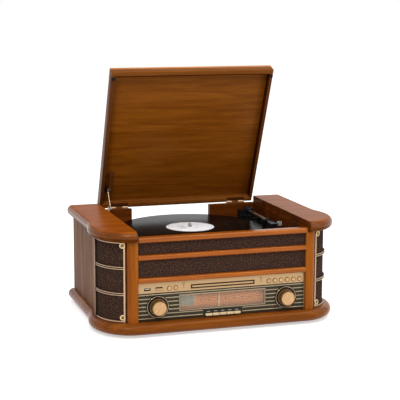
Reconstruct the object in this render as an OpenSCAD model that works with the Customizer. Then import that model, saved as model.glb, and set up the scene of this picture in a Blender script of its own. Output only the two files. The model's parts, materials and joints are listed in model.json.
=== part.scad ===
/* [Cabinet] */
// Width of the opening between the front posts
opening_w = 349; // [345:1:353]
// Width of the top and base plates behind the flared corners
plate_w = 492.6; // [488:0.2:496]
// How far the flared front corners stand out of the plate sides
flare = 8.7; // [6:0.1:10]
// Width of a rounded front corner
corner_w = 80; // [78:1:84]
// Depth of a rounded front corner
corner_d = 92; // [90:1:96]
// How far the plates reach in front of the posts
front_overhang = 15; // [13:0.5:17]
// Depth from the posts' front to the cabinet's back
cabinet_d = 319; // [317:1:322]
// Thickness of the base plate
base_t = 22; // [20:0.5:24]
// Height of the cabinet between the base plate and the top plates
body_h = 161; // [160:0.5:162]
// Thickness of the two top plates
wing_t = 22; // [20:0.5:23]
// Height of the rubber feet
foot_h = 6; // [4:0.5:8]
// Thickness of the wooden side panels
wall_t = 12; // [10:0.5:13]

/* [Front] */
// Height of the control panel that shows
panel_h = 78; // [77:0.5:79]
// Height of the lower and middle rails
rail_h = 10.4; // [10:0.1:10.8]
// Height of the lower cloth strip
lower_grille_h = 35.3; // [35:0.1:36]
// Height of the upper cloth strip
upper_grille_h = 24.7; // [24:0.1:25]
// Depth of the panel and the cloth behind the posts' front
recess = 8; // [7:0.5:9]
// Radius of the two knobs
knob_r = 15.5; // [14:0.5:16.5]
// Distance from the middle to each knob's axis
knob_x = 134; // [132:0.5:135]

/* [Turntable] */
// Radius of the long-playing record
record_r = 150.5; // [150:0.5:151]
// Sideways place of the spindle
spindle_x = -17.5; // [-19:0.5:-16]
// Distance of the spindle behind the posts' front
spindle_y = 168.3; // [167:0.5:170]
// Height of the deck's top above the floor
deck_z = 164; // [163:0.5:165]
// Length from the arm's pivot to the needle
arm_l = 168; // [165:1:172]

/* [Lid] */
// Half of the lid's width
lid_half_w = 175.5; // [174:0.5:176]
// Length of the lid from the hinge to its front edge
lid_l = 328; // [326:0.5:329]
// Thickness of the lid with its frame
lid_t = 22; // [21:0.5:23]
// Angle from closed at which the stay holds the lid
lid_open = 67; // [66:0.5:68]

/* [Hidden] */
$fn = 64;

// Heights above the floor
base_z = foot_h;
body_z = base_z + base_t;
wing_z = body_z + body_h;
panel_top = body_z + panel_h;
lower_cloth_z = panel_top + rail_h;
middle_rail_z = lower_cloth_z + lower_grille_h;
upper_cloth_z = middle_rail_z + rail_h;
top_rail_z = upper_cloth_z + upper_grille_h;
rim_z = 197.5;
bumper_h = 1.3;
hinge_z = rim_z + 1.5;
hinge_y = cabinet_d + 3.2;

// Plan of the cabinet
half_open = opening_w / 2;
half_plate = plate_w / 2;
corner_x = half_plate + flare - corner_w;
corner_y = corner_d - front_overhang;
ogee_back = corner_y + 58;
wing_in = half_open + 4.1;
post_w = 20.5;
post_d = 14;
plate_reach = 12;
half_wall = half_plate - plate_reach;
cloth_a = corner_w - 17;
cloth_b = corner_d - 23;
cloth_t = 3;
trim_t = 3;
steps = 18;

// The model's origin is under the middle of its depth, lid included
lid_back = lid_t * sin(lid_open);
middle_y = (hinge_y + lid_back - front_overhang) / 2;

// Control panel
panel_t = 3;
strip_z = body_z + 56.7;
knob_z = body_z + 28.4;
ring_r = 23.3;
dial_w = 177;
dial_z = body_z + 18.5;
dial_h = 30;
button_z = body_z + 64.6;
button_r = 3.8;
button_pitch = 13.2;
left_button_x = -110.6;
right_button_x = 97.1;
key_pitch = 14.8;
key_w = 13.2;
key_h = 4.6;
key_z = body_z + 3.4;
label_top = 42.1;
tray_w = 130;
tray_h = 5;
tray_z = body_z + 62.3;
tray_l = 150;
usb_x = -155;
card_x = -131.6;
pointer_x = -5.8;
board_y = recess + 12;

// Turntable
platter_r = 110;
platter_z = deck_z + 2;
mat_z = platter_z + 8.5;
record_z = mat_z + 2.8;
record_t = 1.9;
shaft_r = 3.55;
running_gap = 0.07;
drum_r = 62;
pulley_r = 6;
pulley_far = 85;
arm_x = 152;
arm_y = 280;
arm_z = 186;
arm_turn = atan2(4.5, arm_l);

// Lid stay, as height and depth from the hinge
stay_w = 8;
stay_v = 41.9;
stay_x = -158.8;
stay_foot_y = hinge_y - 34.2;
stay_foot_z = hinge_z + 5;
track_l = 36.8;

module in_place() {
    translate([0, -middle_y, 0]) children();
}

module both_sides() {
    children();
    mirror([1, 0, 0]) children();
}

// Edge of a plate from the front corner to the back, moved inwards by inset
function corner_point(a, b, t, inset) =
    let (nx = sin(t) / a, ny = cos(t) / b, n = norm([nx, ny]))
    [corner_x + a * sin(t) - inset * nx / n, corner_y - b * cos(t) + inset * ny / n];

function ogee_point(half, s, inset) =
    let (y = corner_y + (ogee_back - corner_y) * s)
    let (dx = -flare * 90 * sin(180 * s) * PI / 180, dy = ogee_back - corner_y)
    let (n = norm([dx, dy]))
    [half + flare * (1 + cos(180 * s)) / 2 - inset * dy / n, y + inset * dx / n];

function plate_edge(inset, t0 = 0) = concat(
    [for (i = [0:steps]) corner_point(corner_w, corner_d, t0 + (90 - t0) * i / steps, inset)],
    [for (i = [1:10]) ogee_point(half_plate, i / 10, inset)],
    [[half_plate - inset, cabinet_d]]
);

function mirrored(list) = [for (i = [len(list) - 1:-1:0]) [-list[i][0], list[i][1]]];

function base_ring(inset) = concat(plate_edge(inset), mirrored(plate_edge(inset)));

function wing_ring(inset) = concat(
    plate_edge(inset, 4),
    [[wing_in, cabinet_d], [wing_in, inset - front_overhang]]
);

// Plate with a round nose, from rings listed upwards
module nosed_plate(rings, z, t) {
    n = len(rings[0]);
    m = len(rings);
    nose_r = t / 2;
    points = [for (k = [0:m - 1]) let (a = 180 * k / (m - 1) - 90)
        for (p = rings[k]) [p[0], p[1], z + nose_r + nose_r * sin(a)]];
    sides = [for (k = [0:m - 2]) for (i = [0:n - 1]) let (j = (i + 1) % n)
        [k * n + i, (k + 1) * n + i, (k + 1) * n + j, k * n + j]];
    polyhedron(points, concat([[for (i = [0:n - 1]) i]], sides,
        [[for (i = [n - 1:-1:0]) (m - 1) * n + i]]));
}

function nose_inset(k, t) = t / 2 * (1 - cos(22.5 * k - 90));

module base_plate() {
    in_place() color("saddlebrown")
        nosed_plate([for (k = [0:8]) base_ring(nose_inset(k, base_t))], base_z, base_t);
}

module rubber_feet() {
    in_place() color("dimgray")
        for (x = [-190, 190])
            for (y = [45, 285])
                translate([x, y, 0]) cylinder(r = 11, h = foot_h);
}

module side_panel() {
    outer = concat(
        [for (i = [0:10]) ogee_point(half_wall, i / 10, 0)],
        [[half_wall, cabinet_d - 4]]
    );
    inner = [for (i = [len(outer) - 1:-1:0]) [outer[i][0] - wall_t, outer[i][1]]];
    translate([0, 0, body_z]) linear_extrude(body_h) polygon(concat(outer, inner));
}

module side_panels() {
    in_place() color("sienna") both_sides() side_panel();
}

module wing_top() {
    nosed_plate([for (k = [0:8]) wing_ring(nose_inset(k, wing_t))], wing_z, wing_t);
}

module wing_tops() {
    in_place() color("sienna") both_sides() wing_top();
}

module front_posts() {
    edge_r = 9;
    in_place() color("chocolate")
        both_sides() {
            translate([half_open, 0, body_z]) linear_extrude(body_h) intersection() {
                square([post_w, post_d]);
                union() {
                    square([post_w - edge_r, post_d]);
                    translate([0, edge_r]) square([post_w, post_d - edge_r]);
                    translate([post_w - edge_r, edge_r]) circle(r = edge_r);
                }
            }
            translate([half_open, 0, wing_z]) cube([3.8, post_d - 2, rim_z - wing_z]);
        }
}

module rail(z, h, front, back) {
    nose_r = h / 2;
    translate([-half_open, front + nose_r, z]) cube([opening_w, back - front - nose_r, h]);
    translate([-half_open, front + nose_r, z + nose_r]) rotate([0, 90, 0])
        cylinder(r = nose_r, h = opening_w);
}

module front_rails() {
    in_place() color("chocolate") {
        rail(panel_top, rail_h, -1.5, 12);
        rail(middle_rail_z, rail_h, -1.5, 12);
        rail(top_rail_z, rim_z - top_rail_z, -4, 12);
    }
}

module front_grilles() {
    lap = 3;
    in_place() color("#3e2d26") {
        for (strip = [[lower_cloth_z, lower_grille_h], [upper_cloth_z, upper_grille_h]])
            translate([-half_open + 0.2, recess - 2, strip[0] + 0.1])
                cube([opening_w - 0.4, lap, strip[1] - 0.2]);
    }
}

// Curved sheet that follows the rounded front corner between two angles
module corner_sheet(out, t, t0, t1, h) {
    outer = [for (i = [0:steps]) let (a = t0 + (t1 - t0) * i / steps)
        corner_point(cloth_a + out, cloth_b + out, a, 0)];
    inner = [for (i = [steps:-1:0]) let (a = t0 + (t1 - t0) * i / steps)
        corner_point(cloth_a + out, cloth_b + out, a, t)];
    linear_extrude(h) polygon(concat(outer, inner));
}

module speaker_grilles() {
    low = body_z + 0.5;
    in_place() color("#3e2d26") both_sides() {
        translate([0, 0, low]) corner_sheet(0, cloth_t, 21, 89.5, body_h - 1);
        translate([188, post_d + 0.3, low]) cube([10, 2.2, body_h - 1]);
    }
}

module trim_frame() {
    bar_t0 = 20.8;
    bar_t1 = 23.5;
    band_h = 3.4;
    rib_h = 5.6;
    fin_h = 1.9;
    out = trim_t;
    low = body_z + 1;
    high = wing_z - 0.4;
    translate([0, 0, low]) corner_sheet(out, trim_t - 0.2, bar_t0, bar_t1, high - low);
    translate([0, 0, low]) corner_sheet(1.3, 1.1, 87.5, 90, high - low);
    translate([0, 0, low]) corner_sheet(out, trim_t - 0.2, bar_t0, 90, band_h);
    translate([0, 0, high - band_h]) corner_sheet(out, trim_t - 0.2, bar_t0, 90, band_h);
    for (z = rib_heights) {
        translate([0, 0, z - rib_h / 2]) corner_sheet(out - 1, trim_t - 1.2, bar_t1 - 1, 90, rib_h);
        for (low_z = [z - rib_h / 2, z + rib_h / 2 - fin_h])
            translate([0, 0, low_z]) corner_sheet(out + 1, trim_t + 0.8, bar_t1 - 1, 90, fin_h);
    }
}

rib_heights = [body_z + 57, body_z + 109];
boss_heights = [body_z + 10.5, wing_z - 6.3];
boss_angle = 24.5;

// Frame of a short screw boss that stands square on the corner's surface
module on_boss(z) {
    p = corner_point(cloth_a, cloth_b, boss_angle, 0);
    q = corner_point(cloth_a, cloth_b, boss_angle, 1);
    turn = atan2(p[1] - q[1], p[0] - q[0]);
    translate([p[0], p[1], z]) rotate([0, 0, turn]) rotate([0, 90, 0]) children();
}

module grille_trims() {
    in_place() both_sides() {
        color("burlywood") difference() {
            union() {
                trim_frame();
                for (z = boss_heights) on_boss(z) translate([0, 0, 0.3]) cylinder(r = 5.5, h = 4.2);
            }
            for (z = boss_heights) on_boss(z) translate([0, 0, -1]) cylinder(r = 1.7, h = 8);
            for (z = boss_heights) on_boss(z) translate([0, 0, 3.5]) cylinder(r = 3.4, h = 3);
        }
        color("wheat") for (z = boss_heights) on_boss(z) {
            translate([0, 0, 0.5]) cylinder(r = 1.65, h = 3.4);
            translate([0, 0, 3.5]) cylinder(r = 3, h = 1.4);
        }
    }
}

gap_left = -106.2;
gap_right = 71.5;
back_wall_y = 308;
deck_t = 3;

module inner_walls() {
    t = 12;
    ledge = 5;
    high_z = 150;
    low_y = 110;
    front = post_d + 0.3;
    l = back_wall_y - front - 0.3;
    in_place() color("#5a3418") {
        both_sides() {
            translate([half_open, front, high_z]) cube([t, l, wing_z - high_z - 0.3]);
            translate([half_open, front, wing_z - 1]) cube([3.7, l, rim_z - wing_z + 1]);
            translate([half_open, low_y, body_z]) cube([t, back_wall_y - low_y - 0.3, high_z - body_z + 1]);
            translate([half_open - ledge, front, deck_z - deck_t - 6]) cube([ledge + 1, l, 6]);
        }
        back_block(-half_open - 3.8, gap_left);
        back_block(gap_right, half_open + 3.8);
        translate([-half_open + 0.3, recess + 1.2, upper_cloth_z + 0.2])
            cube([opening_w - 0.6, 3, upper_grille_h - 0.4]);
    }
}

module back_block(x0, x1) {
    translate([x0, back_wall_y, deck_z]) cube([x1 - x0, cabinet_d - back_wall_y, rim_z - deck_z]);
}

module turntable_deck() {
    front = post_d - 1.7;
    in_place() color("#181818") difference() {
        union() {
            translate([-half_open + 0.3, front, deck_z - deck_t])
                cube([opening_w - 0.6, back_wall_y + 2.7 - front, deck_t]);
            translate([spindle_x, spindle_y, deck_z - 16]) cylinder(r = 12, h = 16);
        }
        translate([spindle_x, spindle_y, deck_z - 20]) cylinder(r = shaft_r + 0.02, h = 24);
        translate([spindle_x + pulley_far, spindle_y, deck_z - 6]) cylinder(r = 9, h = 8);
        translate([speed_x, speed_y, deck_z - 6]) cylinder(r = 3.1, h = 8);
        translate([arm_x, arm_y, deck_z - 6]) cylinder(r = 6, h = 8);
    }
}

speed_x = 152;
speed_y = 52;

module spindle() {
    in_place() color("silver") translate([spindle_x, spindle_y, 0]) {
        translate([0, 0, deck_z - 15]) cylinder(r = shaft_r, h = record_z + record_t + 6.5 - deck_z + 15);
        translate([0, 0, record_z + record_t + 6.5]) cylinder(r1 = shaft_r, r2 = 1.6, h = 2.5);
    }
}

module platter() {
    in_place() color("gainsboro") translate([spindle_x, spindle_y, 0]) difference() {
        union() {
            translate([0, 0, mat_z - 2.5]) cylinder(r = platter_r, h = 2.3, $fn = 96);
            translate([0, 0, platter_z]) cylinder(r = 8, h = mat_z - platter_z - 2.4);
            translate([0, 0, platter_z]) difference() {
                cylinder(r = platter_r, h = 6.1, $fn = 96);
                translate([0, 0, -1]) cylinder(r = platter_r - 3, h = 8, $fn = 96);
            }
            translate([0, 0, platter_z]) difference() {
                cylinder(r = drum_r, h = 6.1, $fn = 96);
                translate([0, 0, -1]) cylinder(r = drum_r - 3, h = 8, $fn = 96);
            }
        }
        translate([0, 0, platter_z - 1]) cylinder(r = shaft_r + running_gap, h = 12);
    }
}

module platter_mat() {
    in_place() color("#202020") translate([spindle_x, spindle_y, mat_z]) difference() {
        cylinder(r = platter_r - 1, h = 2.6, $fn = 96);
        translate([0, 0, -1]) cylinder(r = shaft_r + 0.3, h = 5);
    }
}

module record() {
    label_r = 50;
    in_place() color("#141414") translate([spindle_x, spindle_y, record_z]) difference() {
        union() {
            cylinder(r = record_r, h = record_t - 0.3, $fn = 128);
            translate([0, 0, 0.2]) cylinder(r = record_r - 3, h = record_t - 0.4, $fn = 128);
            cylinder(r = label_r + 4, h = record_t, $fn = 96);
        }
        translate([0, 0, -1]) cylinder(r = shaft_r + running_gap, h = 4);
    }
}

module turntable_motor() {
    in_place() color("darkgray") translate([spindle_x + pulley_far, spindle_y, 0]) {
        translate([0, 0, deck_z - 30]) cylinder(r = 16, h = 24);
        translate([0, 0, deck_z - deck_t - 3]) difference() {
            cylinder(r = 18, h = 3);
            translate([0, 0, -1]) cylinder(r = 4, h = 5);
        }
        translate([0, 0, deck_z - 6.5]) cylinder(r = 1.2, h = 13.2);
    }
}

module motor_pulley() {
    in_place() color("goldenrod") translate([spindle_x + pulley_far, spindle_y, deck_z + 0.6]) difference() {
        union() {
            cylinder(r = pulley_r, h = 6.2);
            cylinder(r = pulley_r + 1.5, h = 0.8);
        }
        translate([0, 0, -1]) cylinder(r = 1.25, h = 9);
    }
}

module drive_belt() {
    belt_t = 0.8;
    slack = 0.3;
    in_place() color("#101010") translate([spindle_x, spindle_y, platter_z + 1]) linear_extrude(3.4)
        difference() {
            hull() {
                circle(r = drum_r + slack + belt_t, $fn = 96);
                translate([pulley_far, 0]) circle(r = pulley_r + slack + belt_t, $fn = 32);
            }
            hull() {
                circle(r = drum_r + slack, $fn = 96);
                translate([pulley_far, 0]) circle(r = pulley_r + slack, $fn = 32);
            }
        }
}

pivot_r = 1.5;
tube_r = 3;
rest_y = 168;
rest_x = arm_x - 4.5 * (arm_y - rest_y) / arm_l;
lift_r = 44;
lift_gap = 0.4;
lift_turn = 10;
lift_x = arm_x - lift_r * sin(lift_turn);
lift_y = arm_y - lift_r * cos(lift_turn);
lift_top = arm_z - tube_r - lift_gap;
crank_r = 3;
cue_x = 156;
cue_y = 240;
cue_z = deck_z + 9;
cue_r = 1.5;
finger_r = 1.2;
lug_z = cue_z + finger_r + lift_gap;

module arm_base() {
    guide_h = 8;
    in_place() color("#20242a") {
        difference() {
            union() {
                translate([arm_x, arm_y, deck_z]) cylinder(r = 18, h = 5);
                translate([arm_x, arm_y, deck_z]) cylinder(r = 12, h = 10);
                translate([arm_x - 14, cue_y - 11, deck_z]) cube([30, 48, 3]);
                translate([arm_x - 22, arm_y - 8, deck_z]) cube([7.5, 16, 24]);
                translate([lift_x, lift_y, deck_z]) cylinder(r = 5.5, h = guide_h);
                for (x = [cue_x + 3, cue_x + 8.5]) translate([x, cue_y - 4, deck_z])
                    cube([3, 8, cue_z + 4 - deck_z]);
            }
            translate([arm_x, arm_y, deck_z - 1]) cylinder(r = 5, h = 12);
            translate([lift_x, lift_y, deck_z + 1]) cylinder(r = 2.56, h = guide_h);
            translate([cue_x - 1, cue_y, cue_z]) rotate([0, 90, 0]) cylinder(r = cue_r + 0.06, h = 16);
        }
        arm_rest();
    }
}

module arm_rest() {
    saddle_z = arm_z - tube_r - 0.3;
    translate([rest_x, rest_y, 0]) {
        translate([0, 0, deck_z]) cylinder(r = 4, h = 14.5);
        translate([-6, -3, deck_z + 14]) cube([12, 6, saddle_z - deck_z - 14]);
        translate([tube_r + 0.6, -3, saddle_z - 1]) cube([2.4, 6, 7.5]);
    }
}

// Curved bar under the tube that the cueing lever raises
module arm_lift() {
    in_place() color("#15181c") {
        translate([arm_x, arm_y, lift_top - 2]) rotate([0, 0, -133]) rotate_extrude(angle = 47)
            translate([lift_r - 2, 0]) square([4, 2]);
        translate([lift_x, lift_y, deck_z + 3]) cylinder(r = 2.5, h = lift_top - 1 - deck_z - 3);
        translate([lift_x, cue_y - 6, lug_z]) cube([cue_x - 0.5 - lift_x, 6, 1.8]);
    }
}

module arm_gimbal() {
    in_place() color("#20242a") translate([arm_x, arm_y, 0]) rotate([0, 0, -arm_turn]) difference() {
        union() {
            translate([0, 0, deck_z + 1]) cylinder(r = 4.93, h = 10);
            translate([0, 0, deck_z + 10.3]) cylinder(r = 13, h = 3.5);
            for (side = [-1, 1]) translate([side * 9 - 1.5, -6, deck_z + 12])
                cube([3, 12, arm_z - deck_z - 7]);
        }
        translate([-14, 0, arm_z]) rotate([0, 90, 0]) cylinder(r = pivot_r + 0.06, h = 28);
    }
}

module tonearm() {
    in_place() translate([arm_x, arm_y, arm_z]) rotate([0, 0, -arm_turn]) {
        color("silver") rotate([90, 0, 0]) translate([0, 0, 6]) cylinder(r = tube_r, h = arm_l - 45);
        color("#20242a") {
            translate([-6.5, -7, -5]) cube([13, 14, 10]);
            rotate([-90, 0, 0]) translate([0, 0, 6]) cylinder(r = 6, h = 14);
            translate([-11.5, 0, 0]) rotate([0, 90, 0]) cylinder(r = pivot_r, h = 23);
        }
    }
}

module cartridge() {
    shell_w = 8;
    needle_z = record_z + record_t + 0.6 - arm_z;
    in_place() translate([arm_x, arm_y, arm_z]) rotate([0, 0, -arm_turn])
        translate([0, -arm_l, 0]) color("#15181c") {
            translate([0, 0, -0.8]) linear_extrude(2.8) polygon([
                [-shell_w, -7], [shell_w, -7], [shell_w, 12], [4, 37], [-4, 37], [-shell_w, 12]
            ]);
            translate([-4.5, 35, -4]) difference() {
                cube([9, 9, 8]);
                translate([4.5, 2, 4]) rotate([-90, 0, 0]) cylinder(r = tube_r + 0.02, h = 8);
            }
            translate([-6, -5, -5.2]) cube([12, 26, 4.8]);
            translate([-3, -4, needle_z]) cube([6, 8, -5 - needle_z]);
            translate([shell_w - 1, -2, -3.8]) cube([10, 1.4, 9]);
        }
}

module cue_lever() {
    grip_x = cue_x + 12.3;
    in_place() color("#20242a") translate([0, cue_y, cue_z]) {
        translate([cue_x, 0, 0]) rotate([0, 90, 0]) cylinder(r = cue_r, h = 14);
        translate([cue_x - 6, -crank_r, 0]) rotate([0, 90, 0]) cylinder(r = finger_r, h = 7);
        translate([cue_x, -crank_r, -finger_r]) cube([1.8, crank_r, 2 * finger_r]);
        translate([grip_x, -24, -1]) cube([2, 25, 2]);
        translate([grip_x - 0.8, -28, -1.5]) cube([3.6, 5, 3]);
    }
}

module speed_selector() {
    in_place() color("#20242a") translate([speed_x, speed_y, deck_z]) {
        translate([0, 0, 0.5]) cylinder(r = 8, h = 4);
        translate([-1.5, 0, 4]) cube([3, 9, 3]);
        translate([0, 0, -8]) cylinder(r = 3.04, h = 9);
    }
}

// Aperture and button holes of the control panel
module fascia_cuts() {
    deep = panel_t + 6;
    translate([-dial_w / 2, -3, dial_z]) cube([dial_w, deep, dial_h]);
    translate([-tray_w / 2 - 0.6, -3, tray_z - 0.6]) cube([tray_w + 1.2, deep, tray_h + 1.2]);
    translate([-2.5 * key_pitch - 0.3, -3, key_z - 0.4]) cube([5 * key_pitch + 0.6, deep, key_h + 0.8]);
    translate([usb_x - 6.4, -3, button_z - 2.3]) cube([12.8, deep, 5]);
    translate([card_x - 6.7, -3, button_z + 1]) cube([13.4, deep, 2.3]);
    for (x = [-knob_x, knob_x]) translate([x, 5, knob_z]) rotate([90, 0, 0]) {
        cylinder(r = 4, h = 9);
        translate([0, 0, 5.5]) cylinder(r = ring_r - 1.8, h = 9);
    }
    for (i = [1:8]) translate([button_place(i), 5, button_z]) rotate([90, 0, 0])
        cylinder(r = button_r + 0.6, h = 9);
}

function button_place(i) = i <= 2
    ? left_button_x + (i - 1) * button_pitch
    : right_button_x + (i - 3) * button_pitch;

module fascia_panel() {
    bar_n = 7;
    bar_pitch = 7.85;
    in_place() color("tan") translate([0, recess, 0]) difference() {
        union() {
            translate([-half_open + 0.2, 0, body_z + 0.2]) cube([opening_w - 0.4, panel_t, panel_h - 0.4]);
            translate([-half_open + 0.2, -1.5, strip_z])
                cube([opening_w - 0.4, 2, panel_top - strip_z - 0.2]);
            for (i = [0:bar_n - 1]) rib_bar(body_z + 5 + i * bar_pitch);
            for (x = [-knob_x, knob_x]) translate([x, 0.5, knob_z]) rotate([90, 0, 0])
                cylinder(r = ring_r, h = 2.5);
            dial_frame();
            translate([-38.5, -1.8, key_z + key_h + 0.4]) cube([77, 2.2, label_top - key_z - key_h - 0.4]);
            translate([-tray_w / 2 - 3.5, -2, tray_z - 3]) cube([tray_w + 7, 2, tray_h + 6]);
        }
        fascia_cuts();
    }
}

module rib_bar(z) {
    beside_dial = z > dial_z - 5 && z < dial_z + dial_h;
    over_keys = z < dial_z - 5;
    inner = beside_dial ? dial_w / 2 + 2 : over_keys ? 41 : 0;
    for (side = [-1, 1])
        translate([side > 0 ? inner : -half_open + 0.2, -1.4, z]) cube([half_open - 0.2 - inner, 1.9, 2.6]);
}

module dial_frame() {
    rim = 2.2;
    translate([-dial_w / 2 - rim, -1.8, dial_z - rim]) difference() {
        cube([dial_w + 2 * rim, 2.2, dial_h + 2 * rim]);
        translate([rim, -1, rim]) cube([dial_w, 5, dial_h]);
    }
}

display_x = -72.1;
display_w = 31.4;

module dial_scale() {
    plate_y = panel_t + 4;
    in_place() translate([0, recess, 0]) {
        color("#b67f60") translate([-dial_w / 2 - 2, plate_y, dial_z - 3])
            cube([dial_w + 4, 1.5, dial_h + 8]);
        color("#91947f") translate([display_x - display_w / 2, panel_t + 1.2, dial_z + 6.2])
            cube([display_w, 2.9, 21.8]);
        color("silver") translate([-dial_w / 2, rod_y, rod_z]) rotate([0, 90, 0])
            cylinder(r = rod_r, h = dial_w);
        color("silver") for (x = [-dial_w / 2 - 2, dial_w / 2]) translate([x, rod_y - 1.4, rod_z - 1.5])
            cube([2, plate_y - rod_y + 1.6, 3]);
    }
}

rod_r = 0.8;
rod_y = panel_t + 2.1;
rod_z = dial_z + dial_h + 3.7;

module dial_window() {
    in_place() color("lightcyan", 0.35) translate([-dial_w / 2 + 0.1, recess - 0.6, dial_z + 0.1])
        cube([dial_w - 0.2, 1.4, dial_h - 0.2]);
}

module dial_pointer() {
    in_place() color("white") translate([pointer_x, recess, 0]) difference() {
        union() {
            translate([-0.8, rod_y - 0.6, dial_z + 0.5]) cube([1.6, 0.8, dial_h + 2]);
            translate([-5, rod_y - 1.5, rod_z - 2.2]) cube([10, 3, 4.4]);
        }
        translate([-6, rod_y, rod_z]) rotate([0, 90, 0]) cylinder(r = rod_r + 0.06, h = 12);
    }
}

module knob(x) {
    depth = 16;
    in_place() color("#d2a878") translate([x, recess, knob_z]) rotate([90, 0, 0]) difference() {
        union() {
            translate([0, 0, 1]) cylinder(r = knob_r + 1.3, h = 2);
            translate([0, 0, 2.9]) cylinder(r = knob_r, h = depth - 4.1);
            translate([0, 0, depth - 1.2]) cylinder(r1 = knob_r, r2 = knob_r - 1.2, h = 1.2);
            translate([0, 0, -19]) cylinder(r = 3, h = 20);
        }
        translate([0, 0, depth - 1]) cylinder(r = knob_r - 2.4, h = 3);
    }
}

module function_key(i) {
    y0 = recess - 6;
    in_place() color("#dcc8a0") translate([(i - 3) * key_pitch - key_w / 2, y0, key_z]) {
        cube([key_w, 11, key_h]);
        translate([0.2, 10, -0.9]) cube([key_w - 0.4, 1.4, key_h + 1.8]);
        translate([key_w / 2 - 3, 11, 1]) cube([6, 3.6, 2.6]);
    }
}

module round_button(i) {
    in_place() color("#c9a87e") translate([button_place(i), recess, button_z]) rotate([90, 0, 0]) {
        translate([0, 0, -5]) cylinder(r = button_r, h = 7.2);
        translate([0, 0, -5.8]) cylinder(r = button_r + 1.2, h = 1.2);
        translate([0, 0, -9.5]) cylinder(r = 1.8, h = 4);
    }
}

module circuit_boards() {
    t = 1.6;
    main_z = body_z + 8;
    main_top = main_z + t;
    in_place() {
        color("darkgreen") {
            difference() {
                union() {
                    translate([-170, board_y, body_z + 2]) cube([340, t, 48]);
                    translate([-170, board_y, body_z + 49]) cube([92, t, 26]);
                    translate([78, board_y, body_z + 49]) cube([92, t, 26]);
                }
                for (x = [-knob_x, knob_x]) translate([x, board_y + 4, knob_z]) rotate([90, 0, 0])
                    cylinder(r = 3.4, h = 8);
            }
            translate([-90, 200, main_z]) cube([180, 100, t]);
        }
        color("dimgray") {
            for (x = [-knob_x, knob_x]) pot(x, board_y + t);
            for (i = [1:8]) translate([button_place(i) - 3, board_y - 0.8, button_z - 3]) cube([6, 0.8, 6]);
            for (i = [1:5]) translate([(i - 3) * key_pitch - 3, board_y - 0.3, key_z + 1])
                cube([6, 0.3, 2.6]);
            translate([-60, 270, main_top]) cube([60, 22, 26]);
            for (x = [15, 35, 55]) translate([x, 280, main_top]) cylinder(r = 7, h = 22);
            translate([20, 225, main_top]) cube([50, 30, 12]);
            for (x = [-80, 76]) for (y = [206, 290]) translate([x, y, body_z]) cylinder(r = 4, h = 8);
            for (x = [-160, 0, 160]) translate([x - 6, board_y + t, body_z]) cube([12, 8, 6]);
        }
    }
}

// Metal shells of the memory stick and card sockets
module media_sockets() {
    y0 = recess + panel_t + 0.3;
    l = board_y - y0;
    in_place() {
        color("silver") translate([usb_x - 6.9, y0, button_z - 2.9]) difference() {
            cube([13.8, l, 6.2]);
            translate([0.6, -1, 0.6]) cube([12.6, l, 5]);
        }
        color("#111111") translate([usb_x - 5, y0 + 1, button_z + 1.2]) cube([10, l - 1, 1.1]);
        color("silver") translate([card_x - 7.5, y0, button_z - 0.2]) difference() {
            cube([15, l, 4.4]);
            translate([0.8, -1, 1]) cube([13.4, l, 2.4]);
        }
    }
}

module pot(x, y) {
    translate([x, y, knob_z]) rotate([-90, 0, 0]) difference() {
        cylinder(r = 8.5, h = 9);
        translate([0, 0, -1]) cylinder(r = 3.06, h = 8);
    }
}

loader_y = recess + panel_t + 7.5;
hub_y = recess + 72;

module cd_loader() {
    w = 146;
    wall = 2.5;
    low = tray_z - 10;
    high = tray_z + tray_h + 8;
    l = tray_l - 4;
    in_place() color("#2b2b2b") translate([-w / 2, loader_y, 0]) {
        difference() {
            translate([0, 0, low]) cube([w, l, wall]);
            translate([w / 2, hub_y - loader_y, low - 1]) cylinder(r = 3.2, h = 6);
        }
        for (x = [0, w - wall]) translate([x, 0, low + wall - 0.5]) cube([wall, l, high - low - wall]);
        translate([0, l - wall, low + wall - 0.5]) cube([w, wall, high - low - wall]);
        translate([0, 48, high - 1]) cube([w, 34, 2]);
        for (x = [wall - 0.2, w - wall - 8.5])
            translate([x, 2, low + wall - 0.5]) cube([8.7, l - 4, tray_z - 0.4 - low - wall + 0.5]);
        for (x = [30, w - 40]) for (y = [20, l - 34]) translate([x, y, body_z])
            cylinder(r = 5, h = low - body_z + 0.5);
    }
}

module cd_tray() {
    slot_w = 40;
    disc_r = 60.5;
    y0 = recess - 1.6;
    in_place() color("#c9a87e") difference() {
        union() {
            translate([-tray_w / 2, y0, tray_z]) cube([tray_w, 5, tray_h]);
            translate([-tray_w / 2, y0 + 4, tray_z]) cube([tray_w, tray_l, tray_h - 0.6]);
        }
        translate([0, hub_y, tray_z + 2]) cylinder(r = disc_r, h = 6, $fn = 96);
        translate([-slot_w / 2, hub_y, tray_z - 1]) cube([slot_w, tray_l, 9]);
        translate([0, hub_y, tray_z - 1]) cylinder(r = slot_w / 2, h = 9);
    }
}

module cd_hub() {
    in_place() color("silver") translate([0, hub_y, 0]) {
        translate([0, 0, tray_z - 12.8]) cylinder(r = 3.13, h = 8.5);
        translate([0, 0, tray_z - 5]) cylinder(r = 15, h = 3);
        translate([0, 0, tray_z - 2.5]) cylinder(r1 = 7.3, r2 = 6.6, h = 5.2);
    }
}

module power_transformer() {
    in_place() {
        color("gray") translate([-165, 232, body_z]) {
            cube([58, 20, 48]);
            translate([-6, 4, 0]) cube([70, 12, 3]);
        }
        color("gold") translate([-154, 222, body_z + 8]) {
            cube([36, 9.8, 32]);
            translate([0, 30.2, 0]) cube([36, 9.8, 32]);
        }
    }
}

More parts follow.
